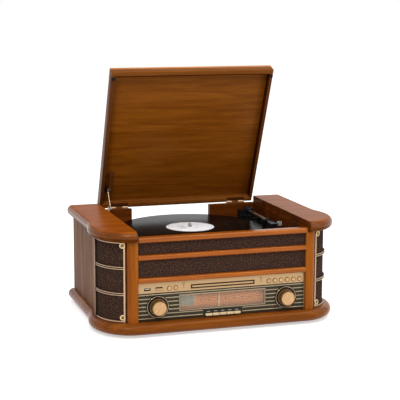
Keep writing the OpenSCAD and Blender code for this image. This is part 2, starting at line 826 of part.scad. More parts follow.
module loudspeakers() {
    cone_r = 30;
    in_place() color("#262626") both_sides()
        translate([206, 47, body_z + 80]) rotate([90, 0, 50]) difference() {
            union() {
                cylinder(r = cone_r, h = 2.5);
                translate([0, 0, -15]) cylinder(r1 = 16, r2 = cone_r - 3, h = 15.5);
                translate([0, 0, -26]) cylinder(r = 16, h = 11.5);
            }
            translate([0, 0, -8]) cylinder(r1 = 12, r2 = cone_r - 5, h = 11);
        }
}

module back_panel() {
    y0 = cabinet_d - 8;
    t = 4;
    half = half_wall - wall_t - 0.5;
    side = half_open + 4.3;
    in_place() color("#1e1a18") difference() {
        union() {
            translate([-half, y0, body_z + 0.2]) cube([2 * half, t, deck_z - body_z - 0.4]);
            both_sides() translate([side, y0, deck_z - 1]) cube([half - side, t, wing_z - deck_z + 0.7]);
        }
        for (side = [-1, 1]) for (i = [0:5])
            translate([side * 120 - 35, y0 - 1, body_z + 60 + i * 9]) cube([70, 6, 3.5]);
        for (i = [0:4]) translate([-25, y0 - 1, body_z + 70 + i * 9]) cube([50, 6, 3.5]);
        translate([150, y0 - 1, body_z + 16]) cube([24, 6, 17]);
        for (x = rca_places) translate([x, y0 + 6, socket_z]) rotate([90, 0, 0]) cylinder(r = 5, h = 8);
        translate([aerial_x, y0 + 6, socket_z]) rotate([90, 0, 0]) cylinder(r = 4, h = 8);
    }
}

rca_places = [60, 78];
aerial_x = 20;
socket_z = body_z + 24;

module rear_sockets() {
    y0 = cabinet_d - 8;
    in_place() {
        color("#111111") translate([150.3, y0 - 14, body_z + 16.3]) difference() {
            cube([23.4, 18, 16.4]);
            translate([2, 3, 2]) cube([19.4, 16, 12.4]);
        }
        color("#111111") for (x = [158, 166]) translate([x, y0, socket_z + 0.5]) rotate([90, 0, 0])
            cylinder(r = 1.2, h = 12);
        color("gold") for (x = rca_places) socket_ring(x, 4.2, 1.7);
        color("silver") socket_ring(aerial_x, 3.6, 1.4);
    }
}

module socket_ring(x, r, bore) {
    translate([x, cabinet_d + 1, socket_z]) rotate([90, 0, 0]) difference() {
        cylinder(r = r, h = 19);
        translate([0, 0, -1]) cylinder(r = bore, h = 12);
    }
}

hinge_places = [-132, 136];
knuckle_r = 2.5;
pin_r = 1.2;
leaf_l = 40;
leaf_t = 1.1;

module knuckle(x, l, bore) {
    translate([x, hinge_y, hinge_z]) rotate([0, 90, 0]) difference() {
        cylinder(r = knuckle_r, h = l);
        if (bore > 0) translate([0, 0, -1]) cylinder(r = bore, h = l + 2);
    }
}

module hinge_leaves() {
    in_place() color("#c9a45c") {
        for (c = hinge_places) {
            for (x = [c - leaf_l / 2, c + leaf_l / 2 - 12]) {
                knuckle(x, 12, 0);
                translate([x, back_wall_y + 1, rim_z]) cube([12, hinge_y - back_wall_y - 1, leaf_t]);
            }
            translate([c - leaf_l / 2, back_wall_y + 1, rim_z])
                cube([leaf_l, cabinet_d - back_wall_y - 1.2, leaf_t]);
            translate([c - leaf_l / 2, hinge_y, hinge_z]) rotate([0, 90, 0])
                cylinder(r = pin_r, h = leaf_l);
        }
        stay_bracket();
    }
}

module stay_bracket() {
    ear_x = stay_x - 4.8;
    ear_t = 1.6;
    foot_w = 8;
    shelf_z = rim_z - 6;
    in_y = stay_foot_y - foot_w;
    translate([-half_open, in_y, rim_z - 20]) cube([1.5, 2 * foot_w, 15.5]);
    translate([-half_open, in_y, shelf_z]) cube([ear_x + ear_t + half_open, 2 * foot_w, 1.5]);
    translate([ear_x, stay_foot_y - 4, shelf_z]) cube([ear_t, 8, stay_foot_z + 4.5 - shelf_z]);
    translate([ear_x, stay_foot_y, stay_foot_z]) rotate([0, 90, 0]) cylinder(r = stay_pin_r, h = 7);
    translate([stay_x + 1.2, stay_foot_y, stay_foot_z]) rotate([0, 90, 0]) cylinder(r = 2.4, h = 1);
}

stay_pin_r = 1.46;
stay_t = 1.6;

// Lid pieces are drawn closed, with the hinge axis as their origin
module on_lid() {
    in_place() translate([0, hinge_y, hinge_z]) rotate([-lid_open, 0, 0]) children();
}

lid_panel_t = 6.5;
lid_depth = lid_t - lid_panel_t;
side_rim = 7;
end_rim = 10;
leaf_in = 11.5;

module lid_panel() {
    on_lid() color("peru")
        translate([-lid_half_w, -lid_l, lid_depth]) cube([2 * lid_half_w, lid_l, lid_panel_t]);
}

module lid_frame() {
    on_lid() color("peru") difference() {
        union() {
            for (x = [-lid_half_w, lid_half_w - side_rim])
                translate([x, -lid_l + end_rim, 0]) cube([side_rim, lid_l - 2 * end_rim, lid_depth]);
            for (y = [-lid_l, -end_rim])
                translate([-lid_half_w, y, 0]) cube([2 * lid_half_w, end_rim, lid_depth]);
        }
        for (c = hinge_places) {
            translate([c - leaf_l / 2 - 0.3, 0, 0]) rotate([0, 90, 0])
                cylinder(r = knuckle_r + 0.4, h = leaf_l + 0.6);
            translate([c - leaf_l / 2 - 0.3, -leaf_in, -1])
                cube([leaf_l + 0.6, leaf_in + 1, leaf_t + 1]);
        }
    }
}

module lid_bumpers() {
    on_lid() color("#151515")
        for (x = [-lid_half_w + side_rim / 2, lid_half_w - side_rim / 2])
            translate([x, -lid_l + 14.5, -bumper_h]) cylinder(r = 3.4, h = bumper_h);
}

module lid_hinge_leaves() {
    l = leaf_l - 24.6;
    on_lid() color("#c9a45c")
        for (c = hinge_places) difference() {
            union() {
                translate([c - l / 2, 0, 0]) rotate([0, 90, 0]) cylinder(r = knuckle_r, h = l);
                translate([c - l / 2, -leaf_in + 0.2, 0]) cube([l, leaf_in - 0.4, leaf_t]);
                translate([c - leaf_l / 2 + 0.1, -leaf_in + 0.2, 0])
                    cube([leaf_l - 0.2, leaf_in - knuckle_r - 0.7, leaf_t]);
            }
            translate([c - l / 2 - 1, 0, 0]) rotate([0, 90, 0]) cylinder(r = pin_r + running_gap, h = l + 2);
        }
}

// Black channel inside the lid in which the stay's upper pin slides
module stay_track() {
    x0 = stay_x + 2.9;
    slot_r = 1.9;
    v0 = stay_v - 6;
    v1 = stay_v + track_l + 6;
    on_lid() color("#151515") {
        difference() {
            translate([x0, -v1, stay_w - 5]) cube([1.6, v1 - v0, lid_depth - stay_w + 5]);
            for (v = [stay_v, stay_v + track_l]) translate([x0 - 1, -v, stay_w]) rotate([0, 90, 0])
                cylinder(r = slot_r, h = 4);
            translate([x0 - 1, -stay_v - track_l, stay_w - slot_r]) cube([4, track_l, 2 * slot_r]);
        }
        translate([x0 + 1.4, -v1, lid_depth - 1.6]) cube([8, v1 - v0, 1.6]);
    }
}

module lid_stay() {
    dy = stay_top[0] - stay_foot_y;
    dz = stay_top[1] - stay_foot_z;
    l = norm([dy, dz]);
    in_place() color("silver") translate([stay_x, stay_foot_y, stay_foot_z]) rotate([atan2(dz, dy), 0, 0]) {
        difference() {
            union() {
                for (y = [0, l]) translate([-stay_t / 2, y, 0]) rotate([0, 90, 0])
                    cylinder(r = 3, h = stay_t);
                translate([-stay_t / 2, 0, -1.4]) cube([stay_t, l, 2.8]);
            }
            translate([-2, 0, 0]) rotate([0, 90, 0]) cylinder(r = stay_pin_r + running_gap, h = 4);
        }
        translate([0, l, 0]) rotate([0, 90, 0]) cylinder(r = 1.5, h = 5.9);
        translate([5.1, l, 0]) rotate([0, 90, 0]) cylinder(r = 2.3, h = 0.8);
    }
}

// Stay's upper pin with the lid open, as depth and height
stay_top = [
    hinge_y - stay_v * cos(lid_open) + stay_w * sin(lid_open),
    hinge_z + stay_v * sin(lid_open) + stay_w * cos(lid_open)
];

module volume_knob() {
    knob(-knob_x);
}

module tuning_knob() {
    knob(knob_x);
}

base_plate();
rubber_feet();
side_panels();
wing_tops();
front_posts();
front_rails();
front_grilles();
speaker_grilles();
grille_trims();
inner_walls();
back_panel();
rear_sockets();
media_sockets();
turntable_deck();
spindle();
turntable_motor();
drive_belt();
arm_base();
fascia_panel();
dial_scale();
dial_window();
cd_loader();
circuit_boards();
power_transformer();
loudspeakers();
hinge_leaves();
lid_panel();
lid_frame();
lid_bumpers();
lid_hinge_leaves();
stay_track();
lid_stay();
platter();
platter_mat();
record();
motor_pulley();
arm_gimbal();
tonearm();
cartridge();
arm_lift();
cue_lever();
speed_selector();
volume_knob();
tuning_knob();
dial_pointer();
function_key(1);  // function_key_1
function_key(2);  // function_key_2
function_key(3);  // function_key_3
function_key(4);  // function_key_4
function_key(5);  // function_key_5
round_button(1);  // round_button_1
round_button(2);  // round_button_2
round_button(3);  // round_button_3
round_button(4);  // round_button_4
round_button(5);  // round_button_5
round_button(6);  // round_button_6
round_button(7);  // round_button_7
round_button(8);  // round_button_8
cd_tray();
cd_hub();
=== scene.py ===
import json
from math import cos, pi, radians, sin

import bpy
from mathutils import Matrix, Vector


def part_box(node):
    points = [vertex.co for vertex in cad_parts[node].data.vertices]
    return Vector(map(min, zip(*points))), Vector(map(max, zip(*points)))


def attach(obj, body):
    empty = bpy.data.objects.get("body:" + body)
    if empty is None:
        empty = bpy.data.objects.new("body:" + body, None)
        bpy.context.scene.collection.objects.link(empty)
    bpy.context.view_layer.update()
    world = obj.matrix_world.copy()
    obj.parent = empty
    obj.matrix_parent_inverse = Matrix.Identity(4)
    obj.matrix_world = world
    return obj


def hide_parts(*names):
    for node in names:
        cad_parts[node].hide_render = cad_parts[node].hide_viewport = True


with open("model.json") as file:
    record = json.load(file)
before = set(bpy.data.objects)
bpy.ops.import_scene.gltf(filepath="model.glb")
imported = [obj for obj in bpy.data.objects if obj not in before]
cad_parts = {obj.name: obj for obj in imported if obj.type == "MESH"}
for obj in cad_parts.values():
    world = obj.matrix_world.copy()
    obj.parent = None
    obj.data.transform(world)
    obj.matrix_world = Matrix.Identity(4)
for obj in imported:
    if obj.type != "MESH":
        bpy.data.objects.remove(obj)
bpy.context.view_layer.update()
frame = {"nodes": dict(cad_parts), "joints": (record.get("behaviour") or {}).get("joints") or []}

# Every place is in metres: x from the middle, y from the front of the posts, z from the floor
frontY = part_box("front_posts")[0].y
lidHinge = next(j for j in frame["joints"] if j["name"] == "lid_hinge")
openAngle = radians(lidHinge["range_deg"][1])
hingePoint = Vector(lidHinge["pos_m"])
near = 1e-5  # closer than this is the same place
turns = dict(X=(0, pi / 2, 0), Y=(pi / 2, 0, 0), Z=(0, 0, 0))  # lay a round piece along an axis


def at(x, y, z):
    return Vector((x, y + frontY, z))


def span(side, first, second):
    return sorted((side * first, side * second))


def centred(x, half, y, z):
    # Low and high corners of a block that lies evenly about x
    return (x - half, y[0], z[0]), (x + half, y[1], z[1])


def turnAbout(point, angle, axis):
    return Matrix.Translation(point) @ Matrix.Rotation(angle, 4, axis) @ Matrix.Translation(-point)


def srgb(red, green, blue):
    def linear(c):
        c /= 255
        return c / 12.92 if c <= 0.04045 else ((c + 0.055) / 1.055) ** 2.4
    return (linear(red), linear(green), linear(blue), 1)


# Tools for shaping pieces

def startEdit():
    bpy.ops.object.mode_set(mode="EDIT")


def endEdit():
    bpy.ops.object.mode_set(mode="OBJECT")


def clearSelection():
    if bpy.context.object and bpy.context.object.mode != "OBJECT":
        endEdit()
    bpy.ops.object.select_all(action="DESELECT")


def makeActive(piece):
    clearSelection()
    piece.select_set(True)
    bpy.context.view_layer.objects.active = piece


def editAll(piece):
    makeActive(piece)
    startEdit()
    bpy.ops.mesh.select_all(action="SELECT")


def nameLatest(name):
    # What was just added or changed, with its place put into its mesh
    bpy.ops.object.transform_apply()
    bpy.context.active_object.name = name
    return bpy.context.active_object


def addBlock(name, low, high, softEdge=0.0004, rounds=2):
    clearSelection()
    low, high = at(*low), at(*high)
    bpy.ops.mesh.primitive_cube_add(size=1, location=(low + high) / 2)
    bpy.context.active_object.scale = high - low
    piece = nameLatest(name)
    if softEdge:
        editAll(piece)
        bpy.ops.mesh.bevel(offset=softEdge, segments=rounds, affect="EDGES")
        endEdit()
    return piece


def addRound(name, centre, radius, depth, axis="Y", sides=64, softEdge=0.0004, rounds=2):
    clearSelection()
    middle = at(*centre)
    bpy.ops.mesh.primitive_cylinder_add(
        vertices=sides, radius=radius, depth=depth, location=middle, rotation=turns[axis])
    piece = nameLatest(name)
    if softEdge:
        k = "XYZ".index(axis)
        bevelWhere(piece, lambda a, b: abs(a[k] - b[k]) < near
                   and abs(abs(a[k] - middle[k]) - depth / 2) < near, softEdge, rounds)
    return piece


def addRing(name, centre, major, minor, sides=56, tube=12, axis="Y"):
    clearSelection()
    bpy.ops.mesh.primitive_torus_add(major_radius=major, minor_radius=minor, major_segments=sides,
                                     minor_segments=tube, location=at(*centre), rotation=turns[axis])
    return nameLatest(name)


def startPicking(piece, kind):
    makeActive(piece)
    startEdit()
    bpy.ops.mesh.select_mode(type=kind)
    bpy.ops.mesh.select_all(action="DESELECT")
    endEdit()


def bevelWhere(piece, rule, width, rounds):
    startPicking(piece, "EDGE")
    points = piece.data.vertices
    for edge in piece.data.edges:
        edge.select = rule(*(points[i].co for i in edge.vertices))
    startEdit()
    bpy.ops.mesh.bevel(offset=width, segments=rounds, affect="EDGES")
    endEdit()


def bothEnds(test):
    return lambda a, b: test(a) and test(b)


def roundNose(piece, front, width, rounds):
    noseY = at(0, front, 0).y
    bevelWhere(piece, lambda a, b: max(abs(a.y - noseY), abs(b.y - noseY), abs(a.z - b.z)) < near,
               width, rounds)


def shapeFaces(piece, rule, *steps, apart=False):
    # A number insets the picked faces by that much, and a direction extrudes them along it
    startPicking(piece, "FACE")
    for face in piece.data.polygons:
        face.select = rule(face)
    startEdit()
    for step in steps:
        if isinstance(step, tuple):
            bpy.ops.mesh.extrude_region_move(TRANSFORM_OT_translate={"value": step})
        else:
            bpy.ops.mesh.inset(thickness=step, use_individual=apart)
    endEdit()


def facesFront(face):
    return face.normal.y < -0.9


def cutAway(piece, point, outwards):
    editAll(piece)
    bpy.ops.mesh.bisect(plane_co=point, plane_no=outwards, use_fill=True, clear_outer=True)
    endEdit()


def cutHoles(piece, *cutters):
    for cutter in cutters:
        makeActive(piece)
        hole = piece.modifiers.new("hole", "BOOLEAN")
        hole.object = cutter
        hole.operation = "DIFFERENCE"
        hole.solver = "EXACT"
        bpy.ops.object.modifier_apply(modifier=hole.name)
        bpy.data.objects.remove(cutter, do_unlink=True)


def carve(piece, low, high):
    cutHoles(piece, addBlock("cut", low, high, 0))


def drill(piece, centre, radius, depth, **form):
    cutHoles(piece, addRound("cut", centre, radius, depth, softEdge=0, **form))


def joinPieces(name, pieces):
    clearSelection()
    for piece in pieces:
        piece.select_set(True)
    bpy.context.view_layer.objects.active = pieces[0]
    if len(pieces) > 1:
        bpy.ops.object.join()
    pieces[0].name = name
    return pieces[0]


def tidyNormals(piece):
    editAll(piece)
    bpy.ops.mesh.remove_doubles(threshold=1e-6)
    bpy.ops.mesh.normals_make_consistent(inside=False)
    endEdit()


def mirrorCopy(piece):
    makeActive(piece)
    bpy.ops.object.duplicate()
    bpy.context.active_object.scale.x = -1
    twin = nameLatest(piece.name.replace("Right", "Left"))
    tidyNormals(twin)
    return twin


def settle(piece, body, slotName, finish, *nodes, sharp=32, moved=None):
    if moved:
        piece.matrix_world = moved @ piece.matrix_world
    makeActive(piece)
    bpy.ops.object.transform_apply()
    bpy.ops.object.shade_smooth_by_angle(angle=radians(sharp))
    piece.data.materials.clear()
    piece.data.materials.append(finish)
    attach(piece, body)
    if nodes:
        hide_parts(*nodes)


def settlePair(piece, slotName, finish, node):
    for half in (piece, mirrorCopy(piece)):
        settle(half, "cabinet", slotName, finish, node)


# Outlines drawn as curves

def addHolder(name, data):
    holder = bpy.data.objects.new(name, data)
    bpy.context.collection.objects.link(holder)
    return holder


def startCurve(name, dimensions, kind):
    curve = bpy.data.curves.new(name, "CURVE")
    curve.dimensions = dimensions
    return addHolder(name, curve), curve, curve.splines.new(kind)


def curveToMesh(piece, z):
    piece.location = at(0, 0, z)
    makeActive(piece)
    bpy.ops.object.convert(target="MESH")
    bpy.ops.object.transform_apply()
    tidyNormals(piece)
    return piece


def drawOutline(name, knots, z, **curveLook):
    piece, curve, spline = startCurve(name, "2D", "BEZIER")
    spline.bezier_points.add(len(knots) - 1)
    for knot, (point, back, ahead) in zip(spline.bezier_points, knots):
        knot.handle_left_type = knot.handle_right_type = "FREE"
        knot.co = (*point, 0)
        knot.handle_left = (*(back or point), 0)
        knot.handle_right = (*(ahead or point), 0)
    spline.use_cyclic_u = True
    for key, value in curveLook.items():
        setattr(curve, key, value)
    return curveToMesh(piece, z)


plan = dict(
    sideX=0.2463, cornerX=0.175, cornerY=0.077, cornerWide=0.08, cornerDeep=0.092, ogeeBack=0.135,
    backY=0.319, innerX=0.1786, roundHandle=0.5523, ogeeHandle=0.3642, beyond=0.03)


def sideKnots(inset=0.0):
    # Front edge, round corner, ogee and side, each as a point with its handles back and ahead
    p = plan
    wide, deep = p["cornerWide"] - inset, p["cornerDeep"] - inset
    sideX, flareX, cornerY = p["sideX"] - inset, p["cornerX"] + wide, p["cornerY"]
    reach = (p["ogeeBack"] - cornerY) * p["ogeeHandle"]
    edgeY = cornerY - deep
    return [
        ((p["cornerX"], edgeY), None, (p["cornerX"] + wide * p["roundHandle"], edgeY)),
        ((flareX, cornerY), (flareX, cornerY - deep * p["roundHandle"]), (flareX, cornerY + reach)),
        ((sideX, p["ogeeBack"]), (sideX, p["ogeeBack"] - reach), None),
        ((sideX, p["backY"] + p["beyond"]), None, None)]


def mirroredKnots(knots):
    def flip(point):
        return point and (-point[0], point[1])
    return [(flip(p), flip(ahead), flip(back)) for p, back, ahead in reversed(knots)]


# Materials

def newFinish(name):
    finish = bpy.data.materials.new(name)
    finish.use_nodes = True
    return finish, finish.node_tree


def plug(tree, node, inputs):
    # A socket gets a value of its own, or a link from another node
    for socket, value in inputs.items():
        if isinstance(value, bpy.types.NodeSocket):
            tree.links.new(value, node.inputs[socket])
        else:
            node.inputs[socket].default_value = value


def setSurface(tree, inputs):
    plug(tree, tree.nodes["Principled BSDF"], inputs)


def addNode(tree, kind, inputs, **settings):
    node = tree.nodes.new("ShaderNode" + kind)
    for key, value in settings.items():
        setattr(node, key, value)
    plug(tree, node, inputs)
    return node


def objectPlace(tree, stretch=(1, 1, 1), turn=(0, 0, 0), move=(0, 0, 0)):
    # Moved and turned first, and stretched along the turned axes after that
    place = addNode(tree, "TexCoord", {}).outputs["Object"]
    for change in ({"Location": move, "Rotation": turn}, {"Scale": stretch}):
        place = addNode(tree, "Mapping", {"Vector": place, **change}).outputs["Vector"]
    return place


def addNoise(tree, vector, scale, detail=3, distort=0.0, rough=0.55):
    return addNode(tree, "TexNoise", {"Vector": vector, "Scale": scale, "Detail": detail,
                                      "Distortion": distort, "Roughness": rough}).outputs["Fac"]


def addRamp(tree, factor, stops):
    node = addNode(tree, "ValToRGB", {"Fac": factor})
    elements = node.color_ramp.elements
    while len(elements) < len(stops):
        elements.new(0.5)
    for element, (place, colour) in zip(elements, stops.items()):
        element.position = place
        element.color = colour
    return node.outputs["Color"]


def addMath(tree, kind, first, second):
    return addNode(tree, "Math", {0: first, 1: second}, operation=kind).outputs[0]


def addSpread(tree, value, low, high, start=0, end=1):
    return addNode(tree, "MapRange", {"Value": value, "From Min": start, "From Max": end,
                                      "To Min": low, "To Max": high}).outputs["Result"]


def addBump(tree, height, distance, strength):
    return addNode(tree, "Bump", {"Height": height, "Distance": distance,
                                  "Strength": strength}).outputs["Normal"]


woodLook = dict(
    figureScale=26, fibreScale=150, along=0.07, figureShare=0.62, stops=(0.34, 0.5, 0.66), smoothest=-0.05,
    roughest=0.08, poreScale=420, poreDepth=0.00005, varnish=(1.0, 0.68, 0.42, 1))


def woodFinish(name, grain, dark, middle, light, shine=0.2, gloss=0.3, fine=1.0, turn=(0, 0, 0),
               move=(0, 0, 0)):
    finish, tree = newFinish(name)
    look = woodLook
    place = objectPlace(tree, [look["along"] if axis == grain else 1 for axis in "XYZ"], turn, move)
    figure = addNoise(tree, place, look["figureScale"] * fine, 3, 1.2)
    fibre = addNoise(tree, place, look["fibreScale"] * fine, 4, 0.4, 0.7)
    pores = addNoise(tree, place, look["poreScale"], 2)
    streak = addMath(tree, "ADD", addMath(tree, "MULTIPLY", figure, look["figureShare"]),
                     addMath(tree, "MULTIPLY", fibre, 1 - look["figureShare"]))
    tones = {stop: srgb(*tone) for stop, tone in zip(look["stops"], (dark, middle, light))}
    setSurface(tree, {
        "Base Color": addRamp(tree, streak, tones), "Specular IOR Level": shine,
        "Roughness": addSpread(tree, fibre, gloss + look["smoothest"], gloss + look["roughest"]),
        "Specular Tint": look["varnish"], "Normal": addBump(tree, pores, look["poreDepth"], 0.5)})
    return finish


clothLook = dict(thread=0.0016, dark=(11, 9, 9), light=(66, 48, 39), warm=(110, 74, 53), cool=(28, 24, 33),
                 speckScale=0.65, tint=0.6)


def clothFinish(name):
    finish, tree = newFinish(name)
    look, thread = clothLook, clothLook["thread"]
    dark, light, warm, cool = (srgb(*look[tone]) for tone in ("dark", "light", "warm", "cool"))
    place = objectPlace(tree)
    rows = addNode(tree, "TexWave", {"Vector": place, "Scale": 2 * pi / 20 / thread, "Distortion": 1.5,
                                     "Detail Scale": 6}, bands_direction="Z")
    knots = addNoise(tree, place, 1 / thread, 2, 0.3)
    speck = addNoise(tree, place, look["speckScale"] / thread, 2)
    height = addMath(tree, "MULTIPLY", rows.outputs["Fac"], knots)
    mix = addNode(tree, "Mix", {
        "Factor": look["tint"], "A": addRamp(tree, knots, {0.36: dark, 0.64: light}),
        "B": addRamp(tree, speck, {0.35: cool, 0.5: light, 0.65: warm})}, data_type="RGBA")
    setSurface(tree, {
        "Base Color": mix.outputs["Result"], "Roughness": 0.9, "Specular IOR Level": 0.06,
        "Normal": addBump(tree, height, thread * 0.5, 0.8)})
    return finish


plainWear = dict(mottle=0.06, stretch=(1, 1, 1), turn=(0, 0, 0), bump=0.00002)


def plainFinish(name, colour, rough, metal=0.0, grainScale=300, shine=0.5, more={}):
    finish, tree = newFinish(name)
    look = {**plainWear, **more}
    place = objectPlace(tree, look["stretch"], look["turn"])
    wear = addNoise(tree, place, grainScale, 3)
    cloud = addNoise(tree, place, grainScale / 12, 2)
    dark, light = ((*(min(1, c * tone) for c in srgb(*colour)[:3]), 1)
                   for tone in (1 - look["mottle"], 1 + look["mottle"]))
    setSurface(tree, {
        "Base Color": addRamp(tree, cloud, {0.3: dark, 0.7: light}), "Metallic": metal,
        "Roughness": addSpread(tree, wear, rough * 0.85, rough * 1.15), "Specular IOR Level": shine,
        "Normal": addBump(tree, wear, look["bump"], 0.6)})
    return finish


def clearFinish(name, alpha):
    finish, tree = newFinish(name)
    haze = addNoise(tree, objectPlace(tree), 40, 2)
    setSurface(tree, {
        "Base Color": addRamp(tree, haze, {0: (0.8, 0.86, 0.88, 1), 1: (0.9, 0.94, 0.95, 1)}),
        "Roughness": addSpread(tree, haze, 0.03, 0.08), "Alpha": alpha, "Specular IOR Level": 0.1})
    return finish


woodLooks = dict(  # grain, dark, middle and light tone, shine, gloss, fineness, turn and move
    front=("X", (126, 58, 3), (154, 76, 6), (184, 101, 14), 0.55, 0.17),
    base=("X", (98, 46, 4), (120, 61, 9), (142, 79, 20), 0.2, 0.26),
    post=("Z", (120, 58, 4), (146, 76, 10), (166, 96, 24)),
    top=("X", (114, 52, 8), (140, 69, 12), (162, 87, 24), 0.02),
    # painted sheen: the right wing's top is a greyer, shinier copy of the left wing's wood
    topRight=("X", (112, 54, 12), (136, 71, 18), (158, 89, 32), 0.045),
    # painted shade: a darker copy of the top wood for the wings' forward faces, with the varnish's gloss
    nose=("X", (88, 40, 5), (109, 54, 9), (129, 69, 19), 0.3, 0.22),
    # painted shade: a darker copy of the top wood for the wings' downward faces
    under=("X", (78, 37, 6), (97, 49, 9), (114, 62, 18), 0.02),
    side=("Z", (72, 39, 17), (112, 69, 37), (144, 99, 61), 0.01, 0.3, 1.7),
    lid=("X", (104, 54, 6), (122, 66, 12), (140, 80, 19), 0.12, 0.3, 2.8, (0, 0, 0), (0.3, 0.1, 0)),
    lidRim=("X", (106, 57, 18), (119, 68, 25), (131, 78, 31), 0.025, 0.3, 1.6),
    lidSide=("Y", (66, 32, 10), (92, 50, 20), (112, 66, 32), 0.05, 0.3, 1, (openAngle, 0, 0)),
    # painted highlight: much paler than the lid, where its front edge catches the light
    lidEdge=("X", (166, 100, 52), (188, 122, 70), (204, 142, 90), 0.025),
    lidShade=("X", (42, 14, 2), (56, 20, 4), (70, 30, 8), 0.025),
    shade=("X", (72, 32, 6), (98, 46, 12), (120, 62, 20), 0.025),
    well=("X", (68, 30, 4), (92, 44, 9), (116, 58, 16), 0.05))
plainLooks = dict(  # colour, roughness, metal, grain scale, shine, and what else differs
    champagneLacquer=((184, 154, 124), 0.28, 0.6, 500),
    polishedGold=((214, 190, 146), 0.2, 0.85, 400),
    brushedGold=((178, 145, 103), 0.34, 0.45, 260, 0.5, dict(stretch=(0.04, 1, 1))),
    # painted shade: dark brown for the grooves between the rib fins and the gap at the grille's rear edge
    darkTrim=((44, 32, 24), 0.6, 0, 400, 0.1),
    darkPanel=((52, 46, 34), 0.4, 0.1, 400, 0.2),
    ridgeGold=((158, 142, 112), 0.3, 0.5, 260, 0.5, dict(stretch=(0.05, 1, 1))),
    knobSide=((112, 82, 44), 0.3, 0.55),
    knobFace=((196, 154, 106), 0.32, 0.35, 7000, 0.5,
              dict(stretch=(0.1, 1, 1), turn=(0, 0.9, 0), mottle=0.2)),
    blackGloss=((12, 12, 12), 0.2, 0, 200, 0.3),
    blackSatin=((15, 16, 17), 0.38, 0, 700, 0.12, dict(bump=0.00004)),
    rubber=((12, 12, 12), 0.75, 0, 600, 0.2, dict(bump=0.00006)),
    agedScrew=((128, 102, 64), 0.35, 0.7, 400),
    brightSteel=((205, 205, 208), 0.16, 1, 250),
    spindleSteel=((150, 152, 138), 0.3, 0.9, 250),
    armTube=((150, 134, 122), 0.24, 0.8, 120, 0.5, dict(bump=0.000004)),
    armLacquer=((22, 26, 34), 0.3, 0.15, 350, 0.2),
    brass=((190, 152, 104), 0.3, 0.7),
    # dark rings round the round buttons, a painted shadow in the gap round each cap, and the marks by the
    # strip's domes
    darkMarksAndShade=((56, 32, 14), 0.45, 0.2, 300, 0.1),
    agedLeaf=((84, 46, 16), 0.45, 0.2, 300, 0.1),
    agedHinge=((118, 70, 36), 0.4, 0.3, 300, 0.1),
    fixedHinge=((118, 70, 36), 0.4, 0.3, 300, 0.1),
    stayTrack=((104, 58, 24), 0.5, 0.1, 300, 0.1),
    slotLip=((66, 44, 24), 0.45, 0, 400, 0.1),
    staySteel=((150, 134, 116), 0.3, 0.5),
    castPlatter=((190, 192, 196), 0.35, 0.9),
    ivory=((214, 190, 148), 0.25, 0, 200, 0.3, dict(mottle=0.03)),
    dialCard=((200, 134, 80), 0.5, 0, 90, 0.05, dict(mottle=0.12, stretch=(0.3, 1, 1))),
    display=((136, 130, 106), 0.3, 0, 120, 0.1, dict(mottle=0.04)),
    dialPrint=((98, 42, 20), 0.5, 0, 300, 0.2),
    pointerPaint=((226, 194, 168), 0.4, 0, 300, 0.3),
    whitePrint=((236, 230, 216), 0.45, 0, 200, 0.5, dict(mottle=0.03)),
    labelInk=((120, 120, 134), 0.5),
    fibreBoard=((44, 36, 30), 0.8, 0, 500, 0.2, dict(mottle=0.2, bump=0.00008)),
    circuitBoard=((24, 74, 42), 0.4, 0, 200),
    darkSteel=((110, 110, 112), 0.4, 0.8))
woods = {key: woodFinish("wood" + key[0].upper() + key[1:], *look) for key, look in woodLooks.items()}
plain = {name: plainFinish(name, *look) for name, look in plainLooks.items()}
grilleCloth = clothFinish("grilleCloth")
print("materials made")


# Camera and light

shot = dict(place=(-0.75779, -2.18562, 0.6634), yaw=17.9346, pitch=9.8309, roll=0.1758, focal=1203.31,
            pictureWide=400, sensorWide=36)


def addCamera():
    camera = bpy.data.cameras.new("photoCamera")
    camera.sensor_width = shot["sensorWide"]
    camera.lens = shot["focal"] / shot["pictureWide"] * camera.sensor_width
    camera.clip_end = 50
    holder = addHolder("photoCamera", camera)
    yaw, pitch, roll = (radians(shot[k]) for k in ("yaw", "pitch", "roll"))
    ahead = Vector((sin(yaw) * cos(pitch), cos(yaw) * cos(pitch), -sin(pitch)))
    right = Vector((cos(yaw), -sin(yaw), 0))
    up = right.cross(ahead)
    tiltedRight = right * cos(roll) + up * sin(roll)
    tiltedUp = up * cos(roll) - right * sin(roll)
    turn = Matrix((tiltedRight, tiltedUp, -ahead)).transposed()
    holder.matrix_world = Matrix.Translation(at(*shot["place"])) @ turn.to_4x4()
    bpy.context.scene.camera = holder


lamps = dict(  # place, width, depth and power
    key=((-1.2, -1.75, 1.95), 0.9, 0.9, 32),
    fill=((1.8, -1.5, 1.1), 1.4, 1.4, 12),
    strip=((0.66, -0.75, 2.1), 2.4, 0.15, 18),
    top=((0.1, 0.2, 2.3), 1.6, 1.6, 8))
lampTarget = (0, 0.12, 0.15)
roomLight = 0.38
paper = dict(size=14, nearGlow=0.52, farGlow=0.75, nearReach=0.5, farReach=2.2)


def addLamps():
    for name, (place, wide, deep, power) in lamps.items():
        light = bpy.data.lights.new(name, "AREA")
        light.shape = "RECTANGLE"
        light.size, light.size_y = wide, deep
        light.energy = power
        holder = addHolder(name, light)
        holder.location = at(*place)
        holder.rotation_euler = (at(*lampTarget) - holder.location).to_track_quat("-Z", "Y").to_euler()


def addSeen(tree):
    rays = addNode(tree, "LightPath", {}).outputs
    seen = addMath(tree, "ADD", rays["Is Camera Ray"], rays["Is Glossy Ray"])
    seen = addMath(tree, "ADD", seen, rays["Is Transmission Ray"])
    return addMath(tree, "MINIMUM", seen, 1.0)


